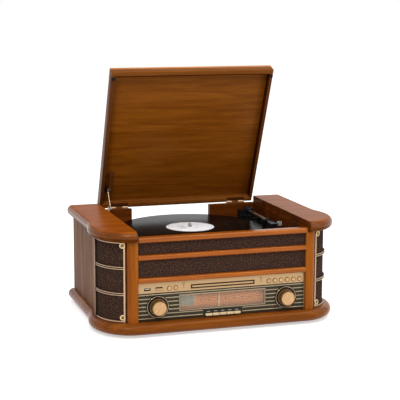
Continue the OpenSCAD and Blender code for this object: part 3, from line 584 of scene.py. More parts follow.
def addSurroundings():
    world = bpy.data.worlds.new("paleRoom")
    bpy.context.scene.world = world
    world.use_nodes = True
    tree = world.node_tree
    plug(tree, tree.nodes["Background"],
         {"Color": (1, 1, 1, 1), "Strength": addSpread(tree, addSeen(tree), roomLight, 1.0)})
    clearSelection()
    bpy.ops.mesh.primitive_plane_add(size=paper["size"], location=at(0, 0, 0))
    floor = nameLatest("floor")
    finish, tree = newFinish("floorPaper")
    place = objectPlace(tree)
    cloud = addNoise(tree, place, 2)
    reach = addNode(tree, "VectorMath", {0: place}, operation="LENGTH").outputs["Value"]
    glow = addSpread(tree, reach, paper["nearGlow"], paper["farGlow"], paper["nearReach"], paper["farReach"])
    setSurface(tree, {
        "Base Color": addRamp(tree, cloud, {0: (0.93, 0.93, 0.93, 1), 1: (0.95, 0.95, 0.95, 1)}),
        "Roughness": 0.9, "Specular IOR Level": 0.0, "Emission Color": (1, 1, 1, 1),
        "Emission Strength": addMath(tree, "MULTIPLY", glow, addSeen(tree))})
    floor.data.materials.append(finish)


bpy.context.scene.view_settings.view_transform = "Standard"
addCamera()
addLamps()
addSurroundings()
print("camera and light set")


# Wooden case

case = dict(
    plateThick=0.022, baseZ=0.006, wallZ=0.028, wingZ=0.189, noseSoft=0.003, wallThick=0.012, wallInset=0.012,
    wallShort=0.004, postX=0.1745, postWide=0.0205, postDeep=0.014, postRound=0.009, postSoft=0.001,
    rimZ=0.1975, stripWide=0.0038, stripDeep=0.012, railHalf=0.1745, railBack=0.012, railRound=0.46)
rails = dict(lower=(0.106, 0.0104, -0.0015), middle=(0.1517, 0.0104, -0.0015),
             top=(0.1868, 0.0107, -0.004))  # low edge, height and front


def buildPlates():
    c, p = case, plan
    nose = c["plateThick"] / 2
    plateCurve = dict(fill_mode="BOTH", bevel_depth=nose, offset=-nose, bevel_resolution=8, resolution_u=20)
    half = sideKnots()
    base = drawOutline("basePlate", half + mirroredKnots(half), c["baseZ"] + nose, **plateCurve)
    cutAway(base, at(0, p["backY"], 0), (0, 1, 0))
    settle(base, "cabinet", "walnut_red", woods["base"], "base_plate")
    startX = p["innerX"] - p["beyond"]
    frontEdge = p["cornerY"] - p["cornerDeep"]
    knots = half + [((startX, p["backY"] + p["beyond"]), None, None), ((startX, frontEdge), None, None)]
    wing = drawOutline("wingTopRight", knots, c["wingZ"] + nose, **plateCurve)
    cutAway(wing, at(0, p["backY"], 0), (0, 1, 0))
    cutAway(wing, at(p["innerX"], 0, 0), (-1, 0, 0))
    noseEnd = at(0, frontEdge + nose - 0.0005, 0).y
    bevelWhere(wing, bothEnds(lambda q: abs(q.x - p["innerX"]) < near and q.y < noseEnd), c["noseSoft"], 5)
    tidyNormals(wing)
    for piece, finish in ((wing, woods["topRight"]), (mirrorCopy(wing), woods["top"])):
        settle(piece, "cabinet", "walnut_red", finish, "wing_tops")
        for key in ("shade", "nose", "under"):
            piece.data.materials.append(woods[key])
        # Inward end faces take the painted shade wood, forward faces the darker nose copy and downward faces
        # the darker under copy, both also painted shade
        for face in piece.data.polygons:
            if abs(face.normal.x) > 0.99 and abs(abs(face.center.x) - p["innerX"]) < 1e-4:
                face.material_index = 1
            elif abs(face.normal.z) < 0.8:
                face.material_index = 2 if face.normal.z > -0.2 else 3
            elif face.normal.z < 0:
                face.material_index = 3


def buildWalls():
    c = case
    outer = sideKnots(c["wallInset"])[1:]
    outer[0] = (outer[0][0], None, outer[0][2])
    outer[-1] = ((outer[-1][0][0], plan["backY"] - c["wallShort"]), None, None)
    inner = [tuple(q and (q[0] - c["wallThick"], q[1]) for q in (point, ahead, back))
             for point, back, ahead in reversed(outer)]
    height = c["wingZ"] - c["wallZ"]
    wall = drawOutline("sidePanelRight", outer + inner, c["wallZ"] + height / 2, fill_mode="BOTH",
                       extrude=height / 2, resolution_u=20)
    settlePair(wall, "walnut_red", woods["side"], "side_panels")


def buildPostsAndRails():
    c = case
    x0, x1 = c["postX"], c["postX"] + c["postWide"]
    post = addBlock("frontPostRight", (x0, 0, c["wallZ"]), (x1, c["postDeep"], c["wingZ"]), 0)
    for x, width, rounds in ((x1, c["postRound"], 12), (x0, c["postSoft"], 3)):
        corner = at(x, 0, 0)
        bevelWhere(post, bothEnds(lambda q: max(abs(q.x - corner.x), abs(q.y - corner.y)) < near),
                   width, rounds)
    strip = addBlock("postStrip", (x0, 0, c["wingZ"]), (x0 + c["stripWide"], c["stripDeep"], c["rimZ"]),
                     0.0006)
    settlePair(joinPieces("frontPostRight", [post, strip]), "walnut_red", woods["post"], "front_posts")
    for name, (z, height, front) in rails.items():
        rail = addBlock(name + "Rail", *centred(0, c["railHalf"], (front, c["railBack"]), (z, z + height)), 0)
        roundNose(rail, front, height * c["railRound"], 10)
        settle(rail, "cabinet", "walnut_red", woods["front"], "front_rails")


buildPlates()
buildWalls()
buildPostsAndRails()
print("wooden case built")


# Curved side grilles

grille = dict(wide=0.063, deep=0.069, start=21, end=89.5, thick=0.003, low=0.0285, high=0.1885,
              backingLow=(0.188, 0.0143), backingHigh=(0.198, 0.0165))
trim = dict(out=0.003, barStart=20.8, barEnd=23.5, end=90, low=0.029, high=0.1886, band=0.0032, soft=0.0008,
            ribs=(0.0852, 0.137), ribHigh=0.0056, finHigh=0.0019, rearX=0.2434, rearY=0.0767)
boss = dict(angle=25.2, places=(0.0392, 0.182), radius=0.0056, depth=0.0042, middle=0.0024, rim=0.0017,
            sunk=0.0018, soft=0.0004, screwRadius=0.0033, screwMiddle=0.0027, screwFlat=0.42,
            slot=(0.008, 0.0009, 0.0012), slotMiddle=0.004)


def cornerPlace(out, angle):
    t = radians(angle)
    a, b = grille["wide"], grille["deep"]
    away = Vector((sin(t) / a, -cos(t) / b)).normalized() * out
    return plan["cornerX"] + a * sin(t) + away.x, plan["cornerY"] - b * cos(t) + away.y


def cornerStrip(name, out, start, end, low, high, thick, roundness=0.0, step=2.5):
    count = max(2, round(abs(end - start) / step) + 1)
    piece, curve, spline = startCurve(name, "3D", "POLY")
    spline.points.add(count - 1)
    for i, point in enumerate(spline.points):
        point.co = (*cornerPlace(out - thick / 2, start + (end - start) * i / (count - 1)), 0, 1)
    curve.extrude = (high - low) / 2 - roundness
    curve.bevel_depth = roundness
    curve.bevel_resolution = 3
    curve.use_fill_caps = roundness > 0
    curveToMesh(piece, (low + high) / 2)
    if not roundness:
        solid = piece.modifiers.new("thickness", "SOLIDIFY")
        solid.thickness = thick
        solid.offset = 0
        bpy.ops.object.modifier_apply(modifier=solid.name)
    return piece


def buildSideGrilles():
    g, t = grille, trim
    cloth = cornerStrip("sideGrilleRight", 0, g["start"], g["end"], g["low"], g["high"], g["thick"], step=2)
    backing = addBlock("grilleBacking", (*g["backingLow"], g["low"]), (*g["backingHigh"], g["high"]), 0.0002)
    settlePair(joinPieces("sideGrilleRight", [cloth, backing]), "grille_cloth", grilleCloth,
               "speaker_grilles")
    wide, start, barEnd, end = (t[k] for k in ("out", "barStart", "barEnd", "end"))
    low, high, band, soft = (t[k] for k in ("low", "high", "band", "soft"))
    rearX, rearY = t["rearX"], t["rearY"]
    parts = [
        cornerStrip("bar", wide, start, barEnd, low, high, wide - 0.0002),
        addBlock("rearBead", (rearX - 0.0011, rearY - 0.0009, low), (rearX, rearY + 0.0002, high), 0.0003),
        cornerStrip("lowBand", wide, start, end, low, low + band, 2 * soft, soft),
        cornerStrip("topBand", wide, start, end, high - band, high, 2 * soft, soft)]
    # The webs between the rib fins and the strip inside the rear bead are dark brown: painted shade in the
    # grooves and in the gap at the grille's rear edge
    webs = []
    half, fin = t["ribHigh"] / 2, t["finHigh"]
    for z in t["ribs"]:
        webs.append(cornerStrip("ribWeb", wide - 0.0008, barEnd - 1, end, z - half, z + half, 0.0016))
        for finZ in (z - half, z + half - fin):
            parts.append(cornerStrip("ribFin", wide + 0.001, barEnd - 1, end, finZ, finZ + fin, fin, 0.0009))
    webs.append(addBlock("rearStrip", (rearX - 0.0072, rearY - 0.0006, low),
                         (rearX - 0.001, rearY + 0.0003, high), 0.0002))
    frameTrim = joinPieces("grilleTrimRight", parts)
    bosses, screws = zip(*(grilleBoss(z) for z in boss["places"]))
    for piece, finish in (
            (frameTrim, "champagneLacquer"), (joinPieces("grilleRibWebsRight", webs), "darkTrim"),
            (joinPieces("grilleBossesRight", bosses), "polishedGold"),
            (joinPieces("grilleScrewsRight", screws), "agedScrew")):
        settlePair(piece, "champagne_trim", plain[finish], "grille_trims")


def grilleBoss(z):
    # A turned boss with a slotted screw sunk in it, standing square on the curved trim
    b = boss
    clearSelection()
    bpy.ops.mesh.primitive_cylinder_add(vertices=40, radius=b["radius"], depth=b["depth"],
                                        location=(0, 0, b["middle"]))
    turned = nameLatest("boss")
    shapeFaces(turned, lambda f: f.normal.z > 0.9, b["rim"], (0, 0, -b["sunk"]))
    topZ = b["middle"] + b["depth"] / 2
    bevelWhere(turned, lambda a, b: min(a.z, b.z) > topZ - 1e-4, b["soft"], 3)
    bpy.ops.mesh.primitive_uv_sphere_add(segments=24, ring_count=12, radius=b["screwRadius"],
                                         location=(0, 0, b["screwMiddle"]))
    bpy.context.active_object.scale.z = b["screwFlat"]
    head = nameLatest("screwHead")
    bpy.ops.mesh.primitive_cube_add(size=1, location=(0, 0, b["slotMiddle"]))
    bpy.context.active_object.scale = b["slot"]
    cutHoles(head, nameLatest("cut"))
    x, y = cornerPlace(0, b["angle"])
    outerX, outerY = cornerPlace(0.001, b["angle"])
    outwards = Vector((outerX - x, outerY - y, 0)).normalized()
    turn = outwards.to_track_quat("Z", "Y").to_matrix().to_4x4()
    for piece in (turned, head):
        piece.matrix_world = Matrix.Translation(at(x, y, z)) @ turn
        makeActive(piece)
        bpy.ops.object.transform_apply()
    return turned, head


buildSideGrilles()
print("side grilles built")


# Control panel

panel = dict(
    halfWide=0.1743, low=0.0282, high=0.1058, faceY=0.008, thick=0.003, through=0.01, stripLow=0.0847,
    stripProud=0.0015, overlap=0.002, ridgeFirst=0.033, ridgePitch=0.00785, ridgeHigh=0.0023,
    ridgeProud=0.0014, ridgeRound=0.0011, ridgeSink=0.0002, borderWide=0.0009, besideDial=0.0022,
    besideKeys=0.0415, dialHalf=0.0885, dialLow=0.0465, dialHigh=0.0765, dialRim=0.0016, shaftHole=0.004,
    knobX=0.134, knobZ=0.0564, bezelRadius=0.0233, bezelHole=0.0228, knobRadius=0.0155, buttonZ=0.0926,
    buttonRadius=0.0038, keyHole=(0.0373, 0.031, 0.0364), keyLow=0.0314, keyHigh=0.036, keyFront=0.002,
    keyBack=0.0135, keyPitch=0.0148, keyWide=0.0132, slotHalf=0.065, slotLow=0.0903, slotHigh=0.0953,
    usbX=-0.155, cardX=-0.1316, ringX=0.1)
buttonPlaces = [-0.1106 + 0.0132 * i for i in range(2)] + [0.0971 + 0.0132 * i for i in range(6)]
keyPlaces = [(i - 2) * panel["keyPitch"] for i in range(5)]


def settlePanel(piece, slotName, finish):
    settle(piece, "cabinet", slotName, plain[finish], "fascia_panel")


def buildPanelBoard():
    p = panel
    y = (p["faceY"], p["faceY"] + p["thick"])
    through = (y[0] - p["through"], y[1] + p["through"])
    board = addBlock("panelBoard", *centred(0, p["halfWide"], y, (p["low"], p["stripLow"] + p["overlap"])),
                     0.0002)
    carve(board, *centred(0, p["dialHalf"], through, (p["dialLow"], p["dialHigh"])))
    carve(board, *centred(0, p["keyHole"][0], through, p["keyHole"][1:]))
    for side in (-1, 1):
        drill(board, (side * p["knobX"], y[0], p["knobZ"]), p["shaftHole"], 0.03)
    settlePanel(board, "champagne_metal", "darkPanel")


def buildRidges():
    p = panel
    front, back = p["faceY"] - p["ridgeProud"], p["faceY"] + p["ridgeSink"]
    ridges = []
    for i in range(7):
        z = p["ridgeFirst"] + i * p["ridgePitch"]
        inner = {0: p["besideKeys"], 1: p["besideKeys"], 6: 0.0}.get(i, p["dialHalf"] + p["besideDial"])
        for side in (-1, 1):
            x0, x1 = span(side, inner, p["halfWide"])
            ridge = addBlock("ridge", (x0, front, z), (x1, back, z + p["ridgeHigh"]), 0)
            roundNose(ridge, front, p["ridgeRound"], 4)
            if 0 < i < 6:
                drill(ridge, (side * p["knobX"], p["faceY"], p["knobZ"]), p["bezelHole"], 0.02)
            ridges.append(ridge)
    for side in (-1, 1):
        x0, x1 = span(side, p["halfWide"], p["halfWide"] - p["borderWide"])
        ridges.append(addBlock("border", (x0, front, p["low"]), (x1, back, p["stripLow"]), 0.0003))
    settlePanel(joinPieces("panelRidges", ridges), "champagne_metal", "ridgeGold")


def buildGoldStrip():
    p = panel
    usbX, cardX = p["usbX"], p["cardX"]
    y0, y1 = p["faceY"] - p["stripProud"], p["faceY"] + p["thick"]
    through = (y0 - p["through"], y1 + p["through"])

    def slotCorners(grow, y):
        return centred(0, p["slotHalf"] + grow, y, (p["slotLow"] - grow, p["slotHigh"] + grow))
    strip = addBlock("goldStrip", *centred(0, p["halfWide"], (y0, y1), (p["stripLow"], p["high"])), 0.0005, 3)
    carve(strip, *slotCorners(0.0015, through))
    carve(strip, *centred(usbX, 0.0064, through, (0.0903, 0.0953)))
    carve(strip, *centred(cardX, 0.0067, through, (0.0936, 0.0959)))
    for x in buttonPlaces:
        drill(strip, (x, y0, p["buttonZ"]), p["buttonRadius"] + 0.0006, 0.03)
    settlePanel(strip, "champagne_metal", "brushedGold")
    liner = addBlock("slotLiner", *slotCorners(0.0019, (y0 - 0.0002, y1)), 0.0003, 4)
    carve(liner, *slotCorners(0.0005, through))
    usb = addBlock("usbFrame", *centred(usbX, 0.0067, (y0 - 0.0003, y1), (0.09, 0.0956)), 0.0005)
    carve(usb, *centred(usbX, 0.0053, through, (0.0913, 0.0944)))
    card = addBlock("cardFrame", *centred(cardX, 0.0074, (y0 - 0.0001, y0 + 0.001), (0.0893, 0.0963)), 0)
    bevelWhere(card, lambda a, b: abs(a.y - b.y) > 1e-4, 0.0012, 4)
    carve(card, *centred(cardX, 0.0069, through, (0.0898, 0.0958)))
    # Dark rings round the buttons: painted shadow in the gap round each cap
    rings = [addRing("ring", (x, y0, p["buttonZ"]), p["buttonRadius"] + 0.0005, 0.0006, 36, 8)
             for x in buttonPlaces]
    settlePanel(liner, "black_plastic", "slotLip")
    settlePanel(joinPieces("slotFrames", [usb, card]), "black_plastic", "blackSatin")
    settlePanel(joinPieces("buttonRings", rings), "black_plastic", "darkMarksAndShade")
    tongue = addBlock("usbTongue", *centred(usbX, 0.005, (y0 + 0.0002, y1 + 0.004), (0.0929, 0.0943)), 0.0002)
    settle(tongue, "cabinet", "ivory_plastic", plain["whitePrint"])


def buildPanelDetails():
    p = panel
    face, front = p["faceY"], p["faceY"] - p["stripProud"]
    for side, name in ((-1, "bezelLeft"), (1, "bezelRight")):
        x = side * p["knobX"]
        disc = addRound(name, (x, face - 0.0007, p["knobZ"]), p["bezelRadius"], 0.0026)
        shapeFaces(disc, facesFront, 0.0016, (0, 0.0015, 0))
        drill(disc, (x, face, p["knobZ"]), p["shaftHole"], 0.02)
        settlePanel(disc, "black_plastic", "blackSatin")
        rim = addRing(name + "Rim", (x, face - 0.0019, p["knobZ"]), p["bezelRadius"] - 0.0021, 0.0006)
        settlePanel(rim, "champagne_metal", "polishedGold")
    half, low, high, rim = p["dialHalf"], p["dialLow"], p["dialHigh"], p["dialRim"]
    dialFrame = addBlock("dialFrame", *centred(0, half + rim, (face - 0.0017, face + 0.0004),
                                               (low - rim, high + rim)), 0.0005, 3)
    carve(dialFrame, *centred(0, half, (face - p["through"], face + p["through"]), (low, high)))
    settlePanel(dialFrame, "champagne_metal", "ridgeGold")
    label = addBlock("keyLabel", *centred(0, 0.0385, (face - 0.0017, face + 0.0003), (0.0365, 0.0421)),
                     0.0004)
    settlePanel(label, "black_plastic", "blackGloss")
    marks = []
    for keyX in keyPlaces:
        for k in range(3):
            x0 = keyX - 0.003 + k * 0.0022
            marks.append(addBlock("mark", (x0, face - 0.0018, 0.0388),
                                  (x0 + 0.0014, face - 0.0016, 0.0401), 0))
    settlePanel(joinPieces("labelMarks", marks), "ivory_plastic", "ivory")
    marks = []
    for x in (-0.0812, 0.0803):
        marks.append(addRing("ring", (x, front, 0.1), 0.0022, 0.0004, 28, 8))
        marks.append(addBlock("tick", *centred(x, 0.0003, (front - 0.0002, front + 0.0003),
                                               (0.0905, 0.0972)), 0))
        dome = addRound("dome", (x, front, 0.1), 0.0019, 0.0016, sides=32, softEdge=0.0006, rounds=4)
        settlePanel(dome, "champagne_metal", "champagneLacquer")
    settlePanel(joinPieces("stripMarks", marks), "champagne_metal", "darkMarksAndShade")


def buildKnob(name, x, body, node):
    p = panel
    y, z, radius = p["faceY"], p["knobZ"], p["knobRadius"]
    skirt = addRound("skirt", (x, y - 0.002, z), radius + 0.0013, 0.002, sides=80, softEdge=0.0006)
    barrel = addRound(name, (x, y - 0.00945, z), radius, 0.0131, sides=96, softEdge=0)
    noseY = at(0, y - 0.016, 0).y
    shapeFaces(barrel, facesFront, 0.002, (0, 0.0009, 0))
    bevelWhere(barrel, bothEnds(lambda q: abs(q.y - noseY) < near), 0.0009, 4)
    settle(joinPieces(name, [barrel, skirt]), body, "champagne_metal", plain["knobSide"], node)
    face = addRound(name + "Face", (x, y - 0.0154, z), radius - 0.0021, 0.0007, sides=96, softEdge=0.0002)
    mark = addBlock("mark", *centred(x, 0.0005, (y - 0.0159, y - 0.0157), (z + 0.0085, z + 0.0118)), 0.0001)
    settle(joinPieces(name + "Face", [face, mark]), body, "champagne_metal", plain["knobFace"], node)


def buildKeysAndButtons():
    p = panel
    front = at(0, p["keyFront"], 0).y
    for i, x in enumerate(keyPlaces, 1):
        key = addBlock(f"functionKey{i}", *centred(x, p["keyWide"] / 2, (p["keyFront"], p["keyBack"]),
                                                   (p["keyLow"], p["keyHigh"])), 0)
        bevelWhere(key, bothEnds(lambda q: q.z > p["keyHigh"] - near and q.y < front + near), 0.0014, 5)
        bevelWhere(key, lambda a, b: min(a.y, b.y) < front + 0.003, 0.0004, 2)
        settle(key, f"key_{i}", "ivory_plastic", plain["ivory"], f"function_key_{i}")
    for i, x in enumerate(buttonPlaces, 1):
        cap = addRound(f"roundButton{i}", (x, 0.0094, p["buttonZ"]), p["buttonRadius"], 0.0072, sides=40,
                       softEdge=0)
        shapeFaces(cap, facesFront, 0.0009, (0, -0.0005, 0), 0.0009, (0, -0.0002, 0))
        settle(cap, f"button_{i}", "champagne_trim", plain["knobFace"], f"round_button_{i}", sharp=50)
    middle = (p["slotLow"] + p["slotHigh"]) / 2
    tray = addBlock("trayFront", *centred(0, p["slotHalf"] - 0.0012, (0.0059, 0.0066),
                                          (middle - 0.0017, middle + 0.0017)), 0.0003, 3)
    lip = addBlock("trayLip", *centred(0, 0.009, (0.0056, 0.0061), (middle - 0.0011, middle - 0.0004)),
                   0.0002)
    settle(joinPieces("trayFront", [tray, lip]), "tray", "champagne_trim", plain["brushedGold"])


buildPanelBoard()
buildRidges()
buildGoldStrip()
buildPanelDetails()
buildKnob("volumeKnob", -panel["knobX"], "volume", "volume_knob")
buildKnob("tuningKnob", panel["knobX"], "tuning", "tuning_knob")
buildKeysAndButtons()
print("control panel built")


# Dial

dial = dict(
    cardY=0.015, cardThick=0.0015, half=0.0905, low=0.0435, high=0.0815, left=-0.049, right=0.084,
    margin=0.006, lines=[0.0487 + 0.0032 * i for i in range(9)], lineHalf=0.0002, printProud=0.0001,
    rows={0.0711: (88, 92, 96, 100, 104, 108), 0.0583: (54, 60, 70, 80, 100, 120, 140, 160)},
    numberUp=0.0029, numberSize=0.0040, ticks=41, displayLeft=-0.0878, displayRight=-0.0564,
    displayLow=0.0527, displayHigh=0.0745, displayProud=0.0028, displayRim=0.0012)


def addNumber(words, x, y, z, size):
    clearSelection()
    bpy.ops.object.text_add(location=at(x, y, z), rotation=turns["Y"])
    words3d = bpy.context.active_object.data
    words3d.body = words
    words3d.size = size
    words3d.align_x = words3d.align_y = "CENTER"
    words3d.extrude = 0.00005
    bpy.ops.object.convert(target="MESH")
    sign = nameLatest("number")
    tidyNormals(sign)
    return sign


def buildDial():
    d = dial
    cardY, left, right = d["cardY"], d["left"], d["right"]
    card = addBlock("dialCard", *centred(0, d["half"], (cardY, cardY + d["cardThick"]),
                                         (d["low"], d["high"])), 0.0002)
    settle(card, "cabinet", "dial_card", plain["dialCard"], "dial_scale")
    faceY = cardY - d["printProud"]
    y = (faceY, faceY + d["printProud"])
    printed = [addBlock("line", (left, y[0], z - d["lineHalf"]), (right, y[1], z + d["lineHalf"]), 0)
               for z in d["lines"]]

    def along(share):
        return left + d["margin"] + (right - left - 2 * d["margin"]) * share
    for z, values in d["rows"].items():
        for i, value in enumerate(values):
            x = along(i / (len(values) - 1))
            printed.append(addNumber(str(value), x, faceY, z + d["numberUp"], d["numberSize"]))
            printed.append(addBlock("tick", *centred(x, 0.0002, y, (z, z + 0.0011)), 0))
        for i in range(d["ticks"]):
            x = along(i / (d["ticks"] - 1))
            printed.append(addBlock("tick", *centred(x, 0.0001, y, (z - 0.0008, z)), 0))
    settle(joinPieces("dialPrint", printed), "cabinet", "dial_card", plain["dialPrint"], "dial_scale")
    front, rim = cardY - d["displayProud"], d["displayRim"]
    edge = addBlock("displayFrame", (d["displayLeft"], front, d["displayLow"]),
                    (d["displayRight"], cardY + 0.0001, d["displayHigh"]), 0.0004)
    settle(edge, "cabinet", "dial_card", plain["champagneLacquer"], "dial_scale")
    glass = addBlock("displayGlass", (d["displayLeft"] + rim, front - 0.0003, d["displayLow"] + rim),
                     (d["displayRight"] - rim, front + 0.0005, d["displayHigh"] - rim), 0.0003)
    settle(glass, "cabinet", "dial_card", plain["display"], "dial_scale")
    rod = addRound("pointerRod", (0, 0.0131, 0.0802), 0.0008, 0.177, axis="X", sides=20, softEdge=0.0001)
    settle(rod, "cabinet", "bright_steel", plain["brightSteel"], "dial_scale")


buildDial()
print("dial built")


# Lid, drawn shut in the cabinet's frame and then swung open about its hinge

lid = dict(half=0.1755, front=-0.0058, back=0.3222, low=0.199, panelZ=0.2145, high=0.221, sideRim=0.007,
           endRim=0.010, pocketHalf=0.0203, pocketDeep=0.0115, pocketHigh=0.0011, notchRadius=0.0029,
           hinges=(-0.132, 0.136), padOut=0.1753, padWide=0.0078, padFront=0.0056, padDeep=0.0062,
           padHigh=0.0013)
hinge = dict(
    leafHalf=0.0199, leafFront=0.0113, leafBack=0.0032, thick=0.0011, screwPitch=0.0145, screwIn=0.0073,
    holeRadius=0.0022, screwRadius=0.0019, slotHalf=0.003, waistRadius=0.0026, waistLong=0.0042,
    knuckleRadius=0.0025, knuckleHalf=0.0077, neckIn=0.0034, boreRadius=0.00127)
stayGuide = dict(eye=0.003, radius=0.0052, beyond=0.005, thick=0.0018)


def hang(piece, slotName, finish, node):
    settle(piece, "lid", slotName, finish, node, moved=turnAbout(hingePoint, -openAngle, "X"))


def buildLid():
    m = lid
    half, front, back, low, panelZ = (m[k] for k in ("half", "front", "back", "low", "panelZ"))
    railFront, railBack = front + m["endRim"], back - m["endRim"]
    top = addBlock("lidPanel", *centred(0, half, (front + 0.0008, back), (panelZ, m["high"])), 0.0008, 4)
    hang(top, "walnut_red", woods["lid"], "lid_panel")
    # The lipping takes the pale edge wood: a painted highlight along the lid's front edge
    lipping = addBlock("lidLipping", *centred(0, half - 0.0002, (front, front + 0.0014),
                                              (panelZ + 0.0004, m["high"] - 0.0002)), 0.0006, 4)
    hang(lipping, "walnut_red", woods["lidEdge"], "lid_panel")
    frontRail = addBlock("lidFront", *centred(0, half, (front, railFront), (low, panelZ)), 0.0008, 3)
    rearRail = addBlock("lidRear", *centred(0, half, (railBack, back), (low, panelZ)), 0.0006)
    for x in m["hinges"]:
        carve(rearRail, *centred(x, m["pocketHalf"], (back - m["pocketDeep"], back + 0.001),
                                 (low - 0.001, low + m["pocketHigh"])))
        drill(rearRail, (x, back, low), m["notchRadius"], 2 * m["pocketHalf"], axis="X", sides=40)
    hang(joinPieces("lidRim", [frontRail, rearRail]), "walnut_red", woods["lidRim"], "lid_frame")
    for side, name in ((-1, "lidSideLeft"), (1, "lidSideRight")):
        x0, x1 = span(side, half, half - m["sideRim"])
        rail = addBlock(name, (x0, railFront, low), (x1, railBack, panelZ), 0.0006)
        hang(rail, "walnut_red", woods["lidSide"], "lid_frame")
        # The rails' inward faces take the dark lid wood: painted shade
        rail.data.materials.append(woods["lidShade"])
        for face in rail.data.polygons:
            if face.normal.x * side < -0.9:
                face.material_index = 1
    # A dark strip along the foot of the front rail: a painted shadow line between the rail and the panel
    shadowLine = addBlock("lidShadowLine", *centred(0, half - m["sideRim"], (railFront - 0.0014, railFront + 0.0006),
                                        (low - 0.0002, low + 0.002)), 0.0002)
    hang(shadowLine, "walnut_red", woods["lidShade"], "lid_frame")
    pads = []
    for side in (-1, 1):
        x0, x1 = span(side, m["padOut"], m["padOut"] - m["padWide"])
        pad = addBlock("pad", (x0, m["padFront"], low - m["padHigh"]),
                       (x1, m["padFront"] + m["padDeep"], low + 0.0002), 0)
        bevelWhere(pad, lambda a, b: abs(a.z - b.z) > 0.001, 0.0012, 4)
        bevelWhere(pad, lambda a, b: max(a.z, b.z) < low - m["padHigh"] + near, 0.0003, 2)
        pads.append(pad)
    hang(joinPieces("lidBumpers", pads), "black_rubber", plain["rubber"], "lid_bumpers")


def buildLidHinges():
    h, low, back = hinge, lid["low"], lid["back"]
    leafZ, screwY = (low, low + h["thick"]), back - h["screwIn"]
    leaves, knuckles = [], []
    for middle in lid["hinges"]:
        leaf = addBlock("leaf", *centred(middle, h["leafHalf"], (back - h["leafFront"], back - h["leafBack"]),
                                         leafZ), 0.0003)
        for x in (middle - h["screwPitch"], middle, middle + h["screwPitch"]):
            drill(leaf, (x, screwY, low), h["holeRadius"], 0.0012, axis="Z", sides=28)
            head = addRound("screw", (x, screwY, low + 0.0005), h["screwRadius"], 0.0008, axis="Z", sides=28,
                            softEdge=0.0002)
            carve(head, *centred(x, h["slotHalf"], (screwY - 0.0002, screwY + 0.0002),
                                 (low - 0.001, low + 0.0003)))
            leaves.append(head)
        leaves.append(leaf)
        pin = dict(axis="X", sides=40, softEdge=0.0003)
        leaves.append(addRound("waist", (middle, back, low), h["waistRadius"], h["waistLong"], **pin))
        neck = addBlock("neck", *centred(middle, h["knuckleHalf"], (back - h["neckIn"], back), leafZ), 0.0003)
        barrel = addRound("knuckle", (middle, back, low), h["knuckleRadius"], 2 * h["knuckleHalf"], **pin)
        drill(barrel, (middle, back, low), h["boreRadius"], 0.02, axis="X", sides=32)
        knuckles += [neck, barrel]
    hang(joinPieces("lidHingeLeaves", leaves), "brass", plain["agedLeaf"], "lid_hinge_leaves")
    hang(joinPieces("lidHingeKnuckles", knuckles), "brass", plain["agedHinge"], "lid_hinge_leaves")


def rubKnuckles():
    # Painted highlight: the fixed hinge is pale where its knuckles stand above the leaf
    tree = plain["fixedHinge"].node_tree
    split = addNode(tree, "SeparateXYZ", {"Vector": objectPlace(tree)})
    height = addSpread(tree, split.outputs["Z"], 0, 1, lid["low"] + 0.0002, lid["low"] + 0.0006)
    setSurface(tree, {"Base Color": addRamp(tree, height, {0: srgb(118, 70, 36), 1: srgb(232, 200, 168)})})


def buildStayGuide():
    # Black guide on the camera side of the stay's upper pin, turned along the stay
    g = stayGuide
    low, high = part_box("lid_stay")
    foot = Vector((0, low.y + g["eye"], low.z + g["eye"]))
    pin = Vector((0, high.y - g["eye"], high.z - g["eye"]))
    clearSelection()
    bpy.ops.mesh.primitive_cylinder_add(vertices=32, radius=g["radius"], depth=g["thick"],
                                        rotation=turns["X"])
    guide = nameLatest("stayGuide")
    for point in guide.data.vertices:
        if point.co.y > 0:
            point.co.y += g["beyond"]
        point.co.x += low.x - g["thick"] / 2
    bevelWhere(guide, lambda a, b: max(a.x, b.x) < low.x - g["thick"] / 2, 0.0005, 3)
    turn = Matrix.Rotation((pin - foot).angle(Vector((0, 1, 0))), 4, "X")
    settle(guide, "stay", "black_plastic", plain["blackSatin"], moved=Matrix.Translation(pin) @ turn)


buildLid()
buildLidHinges()
rubKnuckles()
buildStayGuide()
print("lid built")


# Record player

deck = dict(
    spindleX=-0.0175, spindleY=0.1683, recordZ=0.1773, recordTop=0.1792, recordRadius=0.1505,
    grooves=(0.003, 0.0925, 0.0035), groovesSunk=0.00035, grooveStart=0.149, grooveEnd=0.056, edgeStart=0.15,
    edgeSunk=0.0005, groovePitch=0.0011, holeRadius=0.0037, labelRadius=0.05, labelRings=(0.046, 0.0175),
    barLeft=0.030, barStep=0.003, barRight=0.010, barPitch=0.0065, barHalf=0.0009)
toneArm = dict(x=0.152, y=0.28, z=0.186, headOut=0.168, turn=0.02678, tubeRadius=0.0029, weightRadius=0.0059)


def recordPlace(tree):
    centre = at(deck["spindleX"], deck["spindleY"], 0)
    return objectPlace(tree, move=(-centre.x, -centre.y, 0))


def vinylFinish():
    finish, tree = newFinish("recordVinyl")
    flat = addNode(tree, "VectorMath", {0: recordPlace(tree), 1: (1, 1, 0)}, operation="MULTIPLY")
    radius = addNode(tree, "VectorMath", {0: flat.outputs["Vector"]}, operation="LENGTH").outputs["Value"]
    groove = addMath(tree, "SINE", addMath(tree, "MULTIPLY", radius, 2 * pi / deck["groovePitch"]), 0)
    bands = addNode(tree, "TexNoise", {"W": radius, "Scale": 120}, noise_dimensions="1D").outputs["Fac"]
    along = addNode(tree, "Tangent", {}, direction_type="RADIAL", axis="Z")
    setSurface(tree, {
        "Base Color": addRamp(tree, bands, {0.35: srgb(7, 6, 6), 0.65: srgb(16, 15, 15)}),
        "Roughness": addSpread(tree, bands, 0.1, 0.18), "Specular IOR Level": 0.02, "Anisotropic": 0.6,
        "Tangent": along.outputs["Tangent"], "Normal": addBump(tree, groove, 0.00003, 0.2)})
    return finish


